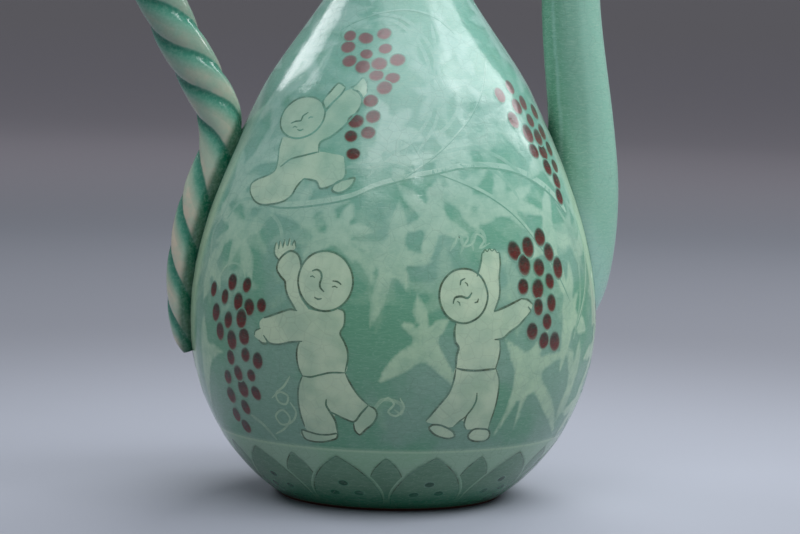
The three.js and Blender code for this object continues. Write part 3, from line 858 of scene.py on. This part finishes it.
TENDRILS = drawn(
    (-1327, 419, -1283, 454, -1256, 504, -1275, 537, -1306, 506, -1294, 471, -1252, 487, -1231,
     534, -1246, 576),
    (-1307, 585, -1275, 615, -1250, 601, -1261, 565, -1284, 571, -1290, 604, -1259, 642, -1236,
     687),
    (-979, 592, -957, 618, -940, 593, -956, 558, -934, 541, -912, 576, -924, 619),
    (-774, 1229, -756, 1276, -733, 1252, -747, 1220, -722, 1228, -704, 1267, -683, 1243, -699,
     1211, -665, 1230),
    (-1514, 994, -1510, 1067, -1468, 1109, -1415, 1095, -1395, 1042),
)
FLOURISHES = [
    [(-123, 214), (-104, 220), (-87, 213), (-80, 198), (-81, 179), (-89, 165), (-98, 158),
     (-104, 149)],
    [(-113, 223), (-91, 220), (-78, 208), (-76, 190), (-80, 173), (-87, 161)],
    [(-74, 218), (-75, 206), (-78, 194)],
    [(-68, 181), (-76, 171), (-80, 168)],
    [(-80, 160), (-68, 162), (-57, 158), (-48, 149)],
    [(-76, 157), (-63, 154), (-56, 147), (-53, 140)],
    [(-79, 120), (-77, 124), (-76, 126), (-75, 122), (-76, 119)],
    [(-72, 120), (-72, 125), (-69, 128), (-68, 125), (-68, 122)],
    [(-155, 128), (-150, 136), (-140, 138), (-125, 139)],
    [(-158, 140), (-158, 131), (-162, 122), (-159, 110)],
    [(-139, 135), (-131, 129), (-128, 121)],
    [(-119, 61), (-118, 58), (-116, 60)],
    [(-142, 50), (-137, 46), (-133, 39)],
    [(-103, 52), (-100, 56), (-97, 61), (-92, 59), (-92, 55), (-94, 57)],
    [(-112, 153), (-99, 155), (-87, 152)],
    [(-35, 136), (-29, 122), (-30, 101), (-35, 82)],
]

seed = random.Random(11)


def slip(mixer):
    """White slip under the glaze, warmer low on the belly."""
    streak = mixer.noise(0.005, 3, 0.6)
    pale = mixer.blend(mixer.height.between(0.05, 0.19), SLIP_LOW, SLIP_HIGH_AND_HIGHLIGHT)
    thin = mixer.noise(0.016, 2).between(0.4, 0.65) * 0.15 + streak.between(0.35, 0.7) * 0.3
    return mixer.blend(thin, pale, mixer.ground)


def spread(track):
    """A line given by angle and run, laid flat about its first point."""
    angle, run = track[0]
    return [(math.radians(a - angle) * wall_radius(r), r - run) for a, r in track]


def faint(shape, share):
    """The same shape with less slip in it."""
    return [(x, y, depth * share) for x, y, depth in shape[0]], shape[1], shape[2]


def bearing(tip):
    return math.atan2(tip.y, tip.x)


def leaf_outline(tips):
    """A vine leaf with one pointed arm to each tip, hollow between them."""
    tips = sorted((Vector(tip) * LEAF_GROW for tip in tips), key=bearing)
    outline = []
    for i, tip in enumerate(tips):
        before = tips[i - 1]
        after = tips[(i + 1) % len(tips)]
        way = tip.normalized()
        side = Vector((-way.y, way.x))
        gap = (bearing(after) - bearing(tip)) % math.tau
        room = min((bearing(tip) - bearing(before)) % math.tau, gap)
        broad = min(ARM_WIDTH * seed.uniform(*ARM_SPREAD), ARM_ROOM * room * tip.length)
        mid = tip * seed.uniform(*ARM_WAIST)
        mid += side * seed.uniform(-ARM_BEND, ARM_BEND) * min(room, 1)
        outline += [mid - side * broad, tip - way - side * 0.8, tip, tip - way + side * 0.8,
                    mid + side * broad]
        halfway = Matrix.Rotation(gap / 2, 2) @ way
        hollow = (0.34 + 0.5 * max(0.9 - gap, 0)) * min(tip.length, after.length) + 1.2
        if gap > WIDE_GAP:
            outline += [Matrix.Rotation(gap / 4, 2) @ way * hollow, halfway * hollow * 0.8,
                        Matrix.Rotation(gap * 3 / 4, 2) @ way * hollow]
        else:
            outline.append(halfway * hollow)
    return rounded(outline, closed=True)


def scattered_leaf(least, most):
    """A leaf with five arms at random."""
    turn = seed.uniform(0, math.tau)
    arms = [turn + math.tau * (k + seed.uniform(-0.25, 0.25)) / 5 for k in range(5)]
    tips = []
    for arm in arms:
        far = seed.uniform(least, most)
        tips.append((math.cos(arm) * far, math.sin(arm) * far))
    return cut_out(leaf_outline(tips), LEAF_SOFT)


leaf_beds = []
leaf_top = int(wall_run[-1]) - LEAF_TOP
for run in range(LEAF_ROWS[0], leaf_top, LEAF_ROWS[1]):
    count = max(round(math.pi * wall_radius(run) / LEAF_ROW_STEP), 2)
    for k in range(count):
        angle = (k + 0.5 * (run % 2) + seed.uniform(-0.2, 0.2)) * 180 / count
        leaf_beds.append((scattered_leaf(12, 19), angle, run, seed.uniform(0.2, 0.5)))
for angle, run, pale, tips in LEAVES:
    leaf_beds.append((cut_out(leaf_outline(*drawn(tips)), LEAF_SOFT), angle, run, pale))
for run in range(SIDE_LEAF_ROWS[0], leaf_top, SIDE_LEAF_ROWS[1]):
    for angle in SIDE_LEAVES if run < SHOULDER_RUN else SHOULDER_LEAVES:
        leaf = scattered_leaf(10, 19)
        leaf_beds.append((leaf, angle + seed.uniform(-4, 4), run, seed.uniform(0.6, 1)))

# Where leaves cross, each shows the slip of both: a ray down onto a leaf, stood up by its
# edge weight, finds how thick its slip is there.
slopes = [BVHTree.FromPolygons([(x, y, depth * pale) for x, y, depth in shape[0]], shape[1])
          for shape, angle, run, pale in leaf_beds]
front_slip, back_slip = Inlay(), Inlay()


def lay_slip(shape, at, lift):
    """Slip on both sides of the wall, each side in a piece of its own."""
    front_slip.lay(shape, at, lift, sides=(0,))
    back_slip.lay(shape, at, lift, sides=(math.pi,))


for n, (shape, angle, run, pale) in enumerate(leaf_beds):
    near = []
    for m, (_, other_angle, other_run, _) in enumerate(leaf_beds):
        turn = math.radians((angle - other_angle + 90) % 180 - 90)
        rise = run - other_run
        if m != n and abs(rise) < LEAF_REACH and abs(turn) * wall_radius(run) < LEAF_REACH:
            near.append((slopes[m], turn, rise))
    corners = []
    for x, y, depth in shape[0]:
        bare = 1 - depth * pale
        for slope, turn, rise in near:
            found = slope.ray_cast((x + turn * wall_radius(run + y), y + rise, 2), (0, 0, -1))[0]
            if found:
                bare *= 1 - found.z
        corners.append((x, y, 1 - bare))
    lay_slip((corners, shape[1], shape[2]), (angle, run), LEAF_LIFT + LEAF_LIFT_STEP * n)


def lay_track(track, width, taper, share, lift):
    """A line of slip along a track; share is how thick its slip is."""
    lay_slip(faint(ribbon(spread(track), width, taper=taper), share), track[0], lift)


for track, width in zip(VINES, VINE_WIDTHS):
    lay_track(track, width, taper=0.2, share=min(width * 0.5, 1), lift=VINE_LIFT)
for track in TENDRILS:
    lay_track(track, width=0.9, taper=0.4, share=0.75, lift=TENDRIL_LIFT)
for track in FLOURISHES:
    lay_track(track, width=1.5, taper=0.3, share=0.5, lift=TENDRIL_LIFT)
leaf_glaze = glaze("celadon_leaves", slip, 0.9)
front_slip.fire("slip_leaves_front", leaf_glaze, "lower_bulb", "upper_bulb")
back_slip.fire("slip_leaves_back", leaf_glaze, "lower_bulb", "upper_bulb")

veins = Inlay()
for track, width in zip(VINES, VINE_WIDTHS):
    under_vine = [(x, y - width * 0.4) for x, y in spread(track)]
    veins.lay(ribbon(under_vine, width * 0.3, taper=0.2), track[0], VEIN_LIFT)


def clouded(size, first, second):
    """A glaze's colour that drifts between two, in clouds of a size."""
    return lambda mixer: mixer.blend(mixer.noise(size, 2), tint(*first), tint(*second))


vein_green = clouded(0.003, (84, 132, 112), (120, 160, 142))
veins.fire("vine_edges", glaze("celadon_veins", vein_green, 0.25))

boys = Inlay()
lines = Inlay()
for boy in (REACHING_BOY, DANCING_BOY, CLIMBING_BOY):
    for n, outline in enumerate(boy["shapes"]):
        lift = BOY_LIFT + BOY_LIFT_STEP * n
        boys.lay(cut_out(rounded(outline, closed=True)), boy["at"], lift)
    for outline in boy["rings"]:
        lines.lay(ribbon(outline, 0.8, closed=True), boy["at"], LINE_LIFT)
    for stroke in boy["strokes"]:
        lines.lay(ribbon(stroke, seed.uniform(0.7, 0.9)), boy["at"], LINE_LIFT)


def figure_slip(mixer):
    """Thicker, warmer slip than the leaves', thin in patches and higher up."""
    pale = mixer.blend(mixer.height.between(0.04, 0.19), tint(200, 220, 186), tint(192, 220, 196))
    thin = mixer.noise(0.012, 2).between(0.35, 0.7) * 0.4
    return mixer.blend(thin + mixer.height.between(0.11, 0.16) * 0.25, pale, mixer.ground)


def iron_line(mixer):
    """Iron, worn in places and paler higher up."""
    drift = mixer.noise(0.0015, 2).between(0.35, 0.7)
    worn = mixer.noise(0.007, 3, 0.6).between(0.3, 0.65) * 0.6
    line = mixer.blend(drift, tint(50, 66, 46), tint(88, 98, 66))
    return mixer.blend(worn + mixer.height.between(0.1, 0.15) * 0.35, line, mixer.ground)


boys.fire("slip_boys", glaze("celadon_boys", figure_slip, 0.95))

PETAL_COUNT = 11
PETAL_RIM = 1.6
PETAL_START = -112.4
PETAL = [(0, 35.2), (3.4, 33), (7.2, 29.8), (10.8, 25.4), (13.6, 20), (15, 14.4), (14.8, 9.6),
         (13.4, 5)]
BACK_PETAL = [(0, 35), (2.8, 32.4), (5.4, 28.6), (6.9, 23.6), (6.6, 17.6), (4.4, 12), (1.6, 7.4)]
DOTS = [(0, 18.5), (-5, 11.6), (5.2, 12.2)]
PETAL_LIFTS = (0.015, 0.08)
RIM_RISE = 0.015
DOT_RISE = 0.02


def petal_outline(half):
    """A petal's whole outline from the right half of it."""
    right = rounded(half)
    return right + [Vector((-p.x, p.y)) for p in reversed(right[1:])]


petals = Inlay()
dots = Inlay()
for half, phase, lift in zip((BACK_PETAL, PETAL), (0.5, 0.0), PETAL_LIFTS):
    fill = cut_out(petal_outline(half), PETAL_RIM)
    inner = [(x * 0.92, y - 1.6) for x, y in half]
    rim = ribbon([(-x, y) for x, y in reversed(inner[1:])] + inner, 0.5)
    for i in range(PETAL_COUNT):
        at = (PETAL_START + 360 / PETAL_COUNT * (i + phase), 0)
        petals.lay(fill, at, lift, sides=(0,))
        lines.lay(rim, at, lift + RIM_RISE, sides=(0,))
        if half is PETAL:
            for x, y in DOTS:
                dots.lay(spot(2.3, 2.0), at, lift + DOT_RISE, shift=(x, y), sides=(0,))
petal_green = clouded(0.01, (86, 128, 100), (106, 146, 118))
dot_green = clouded(0.002, (14, 62, 42), (30, 80, 56))
petals.fire("lotus_band", glaze("celadon_petals", petal_green, 0.95, band=True))
dots.fire("petal_dots", glaze("celadon_dots", dot_green, 0.95))
lines.fire("iron_lines", glaze("celadon_lines", iron_line, 0.92))

GRAPE_SIZES = [(3.1, 3.8), (3.4, 3.0), (3.6, 3.9), (3.4, 4.3)]
GRAPE_LIFTS = (0.09, 0.13)
grapes = Inlay()
for (angle, run, places), (across, high) in zip(GRAPES, GRAPE_SIZES):
    for place in drawn(places)[0]:
        grow = seed.uniform(0.88, 1.12)
        berry = spot(across * grow, high * grow * seed.uniform(0.9, 1.1))
        lift = seed.uniform(*GRAPE_LIFTS)
        grapes.lay(berry, (angle, run), lift, seed.uniform(-0.3, 0.3), shift=place)


def copper_red(mixer):
    """Copper that fired red, dark at the top of each grape, specked, and paler higher up."""
    speck = mixer.noise(0.0011, 3, 0.7)
    patch = mixer.noise(0.003, 2)
    core = mixer.attribute("edge").between(0.2, 1.0)
    red = mixer.blend(core, tint(124, 54, 46), tint(100, 18, 20))
    top = (mixer.attribute("rise") + (patch - 0.5) * 5).between(-1.6, 2.6)
    red = mixer.blend(top * 0.8, red, tint(54, 44, 38))
    red = mixer.blend(speck.between(0.46, 0.58) * core * (0.35 + top * 0.5), red, tint(34, 22, 20))
    return mixer.blend(mixer.height.between(0.14, 0.19) * 0.6, red, tint(160, 130, 134))


grapes.fire("copper_grapes", glaze("celadon_grapes", copper_red, 0.96, craze=0.25))

# Upper bulb. A small thrown gourd with a straight neck bore and a rounded, flared lip,
# luted on at the waist and glazed with the rest.
UPPER_WALL = 0.004
NECK_BORE_R = 0.0108
LIP_R = 0.017
LIP_H = 0.013
LIP_ROUND = 0.0014
mouth_z = NECK_Z + LIP_H
lip_line = rounded([(NECK_R, NECK_Z), ((NECK_R + LIP_R) / 2, NECK_Z + LIP_H / 2),
                    (LIP_R, mouth_z - LIP_ROUND)], step=0.001)
lip_round, bore_round = [], []
for i in range(7):
    a = math.pi * i / 12
    z = mouth_z - LIP_ROUND + LIP_ROUND * math.sin(a)
    lip_round.append((LIP_R - LIP_ROUND + LIP_ROUND * math.cos(a), z))
    bore_round.append((NECK_BORE_R + LIP_ROUND - LIP_ROUND * math.cos(a), z))
inner_upper = [p for p in offset(upper_line, -UPPER_WALL)[::2]
               if p.x > NECK_BORE_R and p.y > WAIST_Z]
upper_outline = [
    *upper_line,
    *lip_line[1:],
    *lip_round[1:],
    *reversed(bore_round),
    (NECK_BORE_R, inner_upper[-1].y),
    *reversed(inner_upper[:-1]),
    (WAIST_R - UPPER_WALL, WAIST_Z),
]
upper_bulb = throw("upper_bulb_thrown", upper_outline)
mark_seams(upper_bulb)
celadon = glaze("celadon_plain", wash=0.6, bare=False, seams=False)
dress(upper_bulb, glaze("celadon_upper", bare=False), "celadon_glaze", "ewer", "upper_bulb")

# Spout. A hollow tube of level oval sections that swells out of the wall in front of the
# pouring port and tapers to a small open tip.
SPOUT_WALL = 0.003
SPOUT_SIDES = 64
SPOUT_TIP = ((0.00012, -0.0004), (0.0007, 0.0), (0.0016, 0.0), (0.0028, -0.0008))  # inset, rise


def loft(name, rings, closed):
    """A skin over a row of rings, that meets its first ring again or has an end at each end
    of the row."""
    sides = len(rings[0])
    corners = [p for ring in rings for p in ring]
    faces = []
    for i in range(len(rings) if closed else len(rings) - 1):
        here, there = i * sides, (i + 1) % len(rings) * sides
        for j in range(sides):
            k = (j + 1) % sides
            faces.append((here + j, here + k, there + k, there + j))
    if not closed:
        faces.append(tuple(reversed(range(sides))))
        faces.append(tuple(range(len(corners) - sides, len(corners))))
    return shape_piece(name, corners, faces)


def spout_ring(section, inset, rise=0.0):
    """A ring of the spout, inset from its outside."""
    x, z, deep, wide = section
    return [Vector((x + (deep - inset) * math.cos(a), (wide - inset) * math.sin(a), z + rise))
            for a in (math.tau * i / SPOUT_SIDES for i in range(SPOUT_SIDES))]


tip_rings = [spout_ring(spout_line[-1], inset, rise) for inset, rise in SPOUT_TIP]
spout = loft("spout_pulled", [spout_ring(s, 0) for s in spout_line[:-1]] + tip_rings
             + [spout_ring(s, SPOUT_WALL) for s in reversed(spout_line[:-1])], closed=True)
sides = [math.cos(math.tau * i / SPOUT_SIDES) for i in range(SPOUT_SIDES)]
gaps = [max(math.hypot(c.co.x, c.co.y) - wall_at(c.co.z), 0) / MM for c in spout.data.vertices]
mark(spout, side=sides * (len(gaps) // SPOUT_SIDES), seam=gaps)
smooth_by_angle(spout, angle=60)
# The spout's glaze is made paler all over, which is painted light, and carries painted shade
# towards the body and painted highlights along it.
spout_green = glaze("celadon_spout", craze=2.0, wash=0.75, bare=False, seams=False, spout_light_and_shade=True)
dress(spout, spout_green, "celadon_glaze", "ewer", "spout")

# Rope handle. Three rolls of clay laid left-handed into one rope, its glaze thin and pale on
# the strands and deep green in the furrows. Its tail is pressed onto the belly, its head is
# luted into the crown.
ROPE_LAY = 0.0615
FURROW = 0.15
ROPE_SIDES = 72

turns = [0.0]
for before, after in zip(rope_line, rope_line[1:]):
    turns.append(turns[-1] - math.tau * (after - before).length / ROPE_LAY)
crest = max(range(len(rope_line)), key=lambda i: rope_line[i].y)
rope_rings, rope_lay, rope_down, rope_seat = [], [], [], []
for i, (p, radius) in enumerate(zip(rope_line, rope_radii)):
    along = rope_line[min(i + 1, len(rope_line) - 1)] - rope_line[max(i - 1, 0)]
    along.normalize()
    across = Vector((along.y, -along.x))
    ring = []
    for j in range(ROPE_SIDES):
        a = math.tau * j / ROPE_SIDES
        lay = ((a - turns[i] + turns[crest]) / (math.tau / 3)) % 1
        r = radius * (1 - FURROW * abs(2 * lay - 1) ** 3)
        corner = Vector((p.x + across.x * r * math.cos(a), r * math.sin(a),
                         p.y + across.y * r * math.cos(a)))
        ring.append(corner)
        rope_lay.append(lay)
        rope_down.append(-across.y * math.cos(a))
        rope_seat.append((math.hypot(corner.x, corner.y) - wall_at(corner.z)) / MM)
    rope_rings.append(ring)
rope = loft("rope_laid", rope_rings, closed=False)
mark(rope, lay_cos=[math.cos(math.tau * lay) for lay in rope_lay],
     lay_sin=[math.sin(math.tau * lay) for lay in rope_lay], down=rope_down, seat=rope_seat)
smooth_by_angle(rope, angle=80)


def rope_glaze():
    """Deep green below each furrow, fading to pale clay before the next one."""
    mixer = Mixer("rope_glaze")
    drift = mixer.noise(0.009, 3, 0.6)
    grain = mixer.noise(0.0013, 3, 0.6)
    lay_cos = mixer.attribute("lay_cos")
    turn = lay_cos.sum("ARCTAN2", 0.0 - mixer.attribute("lay_sin"), lay_cos)
    lay = turn / math.tau + (drift - 0.5) * 0.12 + (grain - 0.5) * 0.04
    down = mixer.attribute("down").between(-0.7, 0.8)
    before = lay.between(-0.12, -0.03)
    wide = (1 - lay.between(0.1, 0.62)) * before
    near = (1 - lay.between(0.0, 0.34)) * before
    mixer.seen = mixer.blend(drift.between(0.35, 0.65), tint(214, 204, 182), tint(184, 200, 178))
    mixer.over(mixer.height.between(0.12, 0.2) * 0.65, tint(98, 148, 130))
    mixer.over(wide, tint(98, 166, 144))
    mixer.over(near * (0.6 + down * 0.4), tint(22, 108, 86))
    mixer.over((1 - mixer.attribute("seat").between(3.0, 6.5)) * 0.9, GREEN_POOL_AND_SHADE)
    mixer.over(grain.between(0.4, 0.7) * 0.12, CRACK_PALE)
    bump = mixer.bump(0.35, drift * 0.5 + grain * 0.05)
    mixer.feed(Base_Color=mixer.seen, Roughness=0.06 + drift * 0.08, Normal=bump, IOR=GLAZE_IOR)
    return mixer.material


dress(rope, rope_glaze(), "rope_glaze", "ewer",
      "handle_strand_1", "handle_strand_2", "handle_strand_3")

# Handle loop. A small ring of rolled clay for the tie, standing on the crest of the rope.
LOOP_R = 0.0046
LOOP_WIRE_R = 0.0018
LOOP_SINK = 0.0012


def clay_ring(name, x, z, tilt):
    """A loop that stands along the rope's plane."""
    bpy.ops.mesh.primitive_torus_add(
        major_radius=LOOP_R, minor_radius=LOOP_WIRE_R, major_segments=64, minor_segments=24,
        location=(x, 0, z), rotation=(math.pi / 2, tilt, 0))
    ring = bpy.context.object
    ring.name = name
    smooth_by_angle(ring, angle=80)
    return ring


handle_loop = clay_ring("handle_loop_rolled", rope_line[crest].x,
                        rope_line[crest].y + ROPE_R + LOOP_R - LOOP_SINK, 0)
dress(handle_loop, celadon, "celadon_glaze", "ewer", "handle_loop")

# Lid. A low thrown dome with an overhanging edge and a straight flange that drops into the
# neck. It lies loose on the lip.
SEAT_GAP = 0.0003
LID_R = 0.0179
LID_EDGE_H = 0.0026
LID_DOME_H = 0.008
LID_SEAT_R = 0.0052
LID_WALL = 0.003
FLANGE_R = 0.0102
FLANGE_WALL = 0.0022
FLANGE_H = 0.010
LID_RIM = ((0.0006, 0.0), (0.0001, 0.0004), (0.0, 0.0010))  # in from the edge, up
lid_z = mouth_z + SEAT_GAP
lid_top_z = lid_z + LID_EDGE_H + LID_DOME_H
edge_top = Vector((LID_R, lid_z + LID_EDGE_H))
dome = stretch(edge_top, UP * (LID_DOME_H / 2), Vector((LID_SEAT_R, lid_top_z)),
               Vector((-(LID_R - LID_SEAT_R) / 2, 0)), 28)
bore_r = FLANGE_R - FLANGE_WALL
lid_outline = [
    (FLANGE_R, lid_z),
    *((LID_R - inset, lid_z + rise) for inset, rise in LID_RIM),
    edge_top,
    *dome,
    (0, lid_top_z),
    (0, lid_top_z - LID_WALL),
    (bore_r / 2, lid_top_z - LID_WALL),
    (bore_r, lid_top_z - 2 * LID_WALL),
    (bore_r, lid_z - FLANGE_H),
    (FLANGE_R, lid_z - FLANGE_H),
]
lid = throw("lid_thrown", lid_outline, steps=128)
dress(lid, celadon, "celadon_glaze", "lid", "lid")

# Lid knob. A bud on a short stem, luted to the middle of the dome.
KNOB_R = 0.0064
KNOB_STEM_R = 0.0034
KNOB_H = 0.016
knob_z = lid_top_z + SEAT_GAP
knob_line = rounded([(KNOB_STEM_R * 1.3, knob_z), (KNOB_STEM_R, knob_z + KNOB_H * 0.2),
                     (KNOB_R, knob_z + KNOB_H * 0.55), (KNOB_R * 0.6, knob_z + KNOB_H * 0.86),
                     (0, knob_z + KNOB_H)], step=0.0005)
knob = throw("lid_knob_turned", [(0, knob_z), *knob_line], steps=96)
dress(knob, celadon, "celadon_glaze", "lid", "lid_knob")

# Lid loop. The second ring for the tie, on the side of the dome that faces the handle.
LID_LOOP_X = 0.0115
seat_z = lid_top_z - LID_DOME_H * (LID_LOOP_X / LID_R) ** 2
lid_loop = clay_ring("lid_loop_rolled", -LID_LOOP_X, seat_z + LOOP_R - LOOP_SINK,
                     math.atan2(LID_DOME_H, LID_R))
dress(lid_loop, celadon, "celadon_glaze", "lid", "lid_loop")

# Camera, floor and lamps. A wide pale floor stands in for table and wall. Soft windows light
# the ewer from the left, the right and behind, the ceiling and a small lamp from the front.
# The camera has the photograph's long lens, height and slight roll.
LENS = 135
SENSOR_W = 36
CLIP_START = 0.01
CAMERA_AWAY = 1.241
CAMERA_UP = 0.2157
CAMERA_ASIDE = 0.00265
CAMERA_PITCH = math.radians(5.58)
CAMERA_ROLL = math.radians(1.17)
CAMERA_ROUND = math.radians(-5)
FLOOR_R = 200
LAMP_AIM = Vector((0, 0, 0.12))
LAMP_COLOR = (0.97, 0.98, 1)
SKY_COLOR = (0.6, 0.62, 0.66, 1)
SKY_STRENGTH = 0.28

camera_data = bpy.data.cameras.new("photo_camera")
camera_data.lens = LENS
camera_data.sensor_width = SENSOR_W
camera_data.clip_start = CLIP_START
camera = bpy.data.objects.new("photo_camera", camera_data)
bpy.context.scene.collection.objects.link(camera)
camera.matrix_world = (Matrix.Rotation(CAMERA_ROUND, 4, "Z")
                       @ Matrix.Translation((CAMERA_ASIDE, -CAMERA_AWAY, CAMERA_UP))
                       @ Matrix.Rotation(math.pi / 2 - CAMERA_PITCH, 4, "X")
                       @ Matrix.Rotation(CAMERA_ROLL, 4, "Z"))
bpy.context.scene.camera = camera

bpy.ops.mesh.primitive_circle_add(vertices=96, radius=FLOOR_R, fill_type="NGON")
floor = bpy.context.object
floor.name = "pale_floor"
floor_mix = Mixer("pale_floor")
away = floor_mix.node("ShaderNodeVectorMath", (floor_mix.where,), out=1, operation="LENGTH")
# Painted light and shade: the floor's colour grades with distance from the ewer, darker out to
# 0.62 m and paler again from 1.2 m on, where the lamps hardly reach.
floor_mix.seen = tint(158, 163, 175)
floor_mix.over(away.between(0.0, 0.62), tint(116, 119, 128))
floor_mix.over(away.between(1.2, 2.6), tint(192, 186, 196))
floor_mix.over(away.between(2.8, 12.0), tint(190, 184, 190))
floor_mix.feed(Base_Color=floor_mix.seen, Roughness=0.7)
floor.data.materials.append(floor_mix.material)

world = bpy.data.worlds.new("studio")
world.use_nodes = True
sky = world.node_tree.nodes["Background"].inputs
sky["Color"].default_value = SKY_COLOR
sky["Strength"].default_value = SKY_STRENGTH
bpy.context.scene.world = world


def soft_lamp(name, azimuth, elevation, away, size, power, roll=0):
    """A soft box that looks at the belly, rolled about its line of sight."""
    data = bpy.data.lights.new(name, "AREA")
    data.shape = "RECTANGLE"
    data.size, data.size_y = size
    data.energy = power
    data.color = LAMP_COLOR
    lamp = bpy.data.objects.new(name, data)
    bpy.context.scene.collection.objects.link(lamp)
    a, e = math.radians(azimuth), math.radians(elevation)
    place = Vector((math.sin(a) * math.cos(e), -math.cos(a) * math.cos(e), math.sin(e))) * away
    lamp.location = place + LAMP_AIM
    sight = (-place).to_track_quat("-Z", "Y")
    lamp.rotation_euler = (sight @ Quaternion((0, 0, 1), math.radians(roll))).to_euler()


soft_lamp("left_window", -121, 36, 1.4, (0.84, 0.3), 4.2, 30)
soft_lamp("right_window", 93, 43, 1.4, (1.42, 0.44), 10.5, -29)
soft_lamp("ceiling", 14, 60, 1.6, (2.0, 1.0), 19)
soft_lamp("back_window", 150, 50, 1.6, (1.2, 0.8), 15)
soft_lamp("small_lamp", 12, 41, 1.5, (0.1, 0.04), 0.35)

bpy.context.scene.view_settings.view_transform = "Standard"
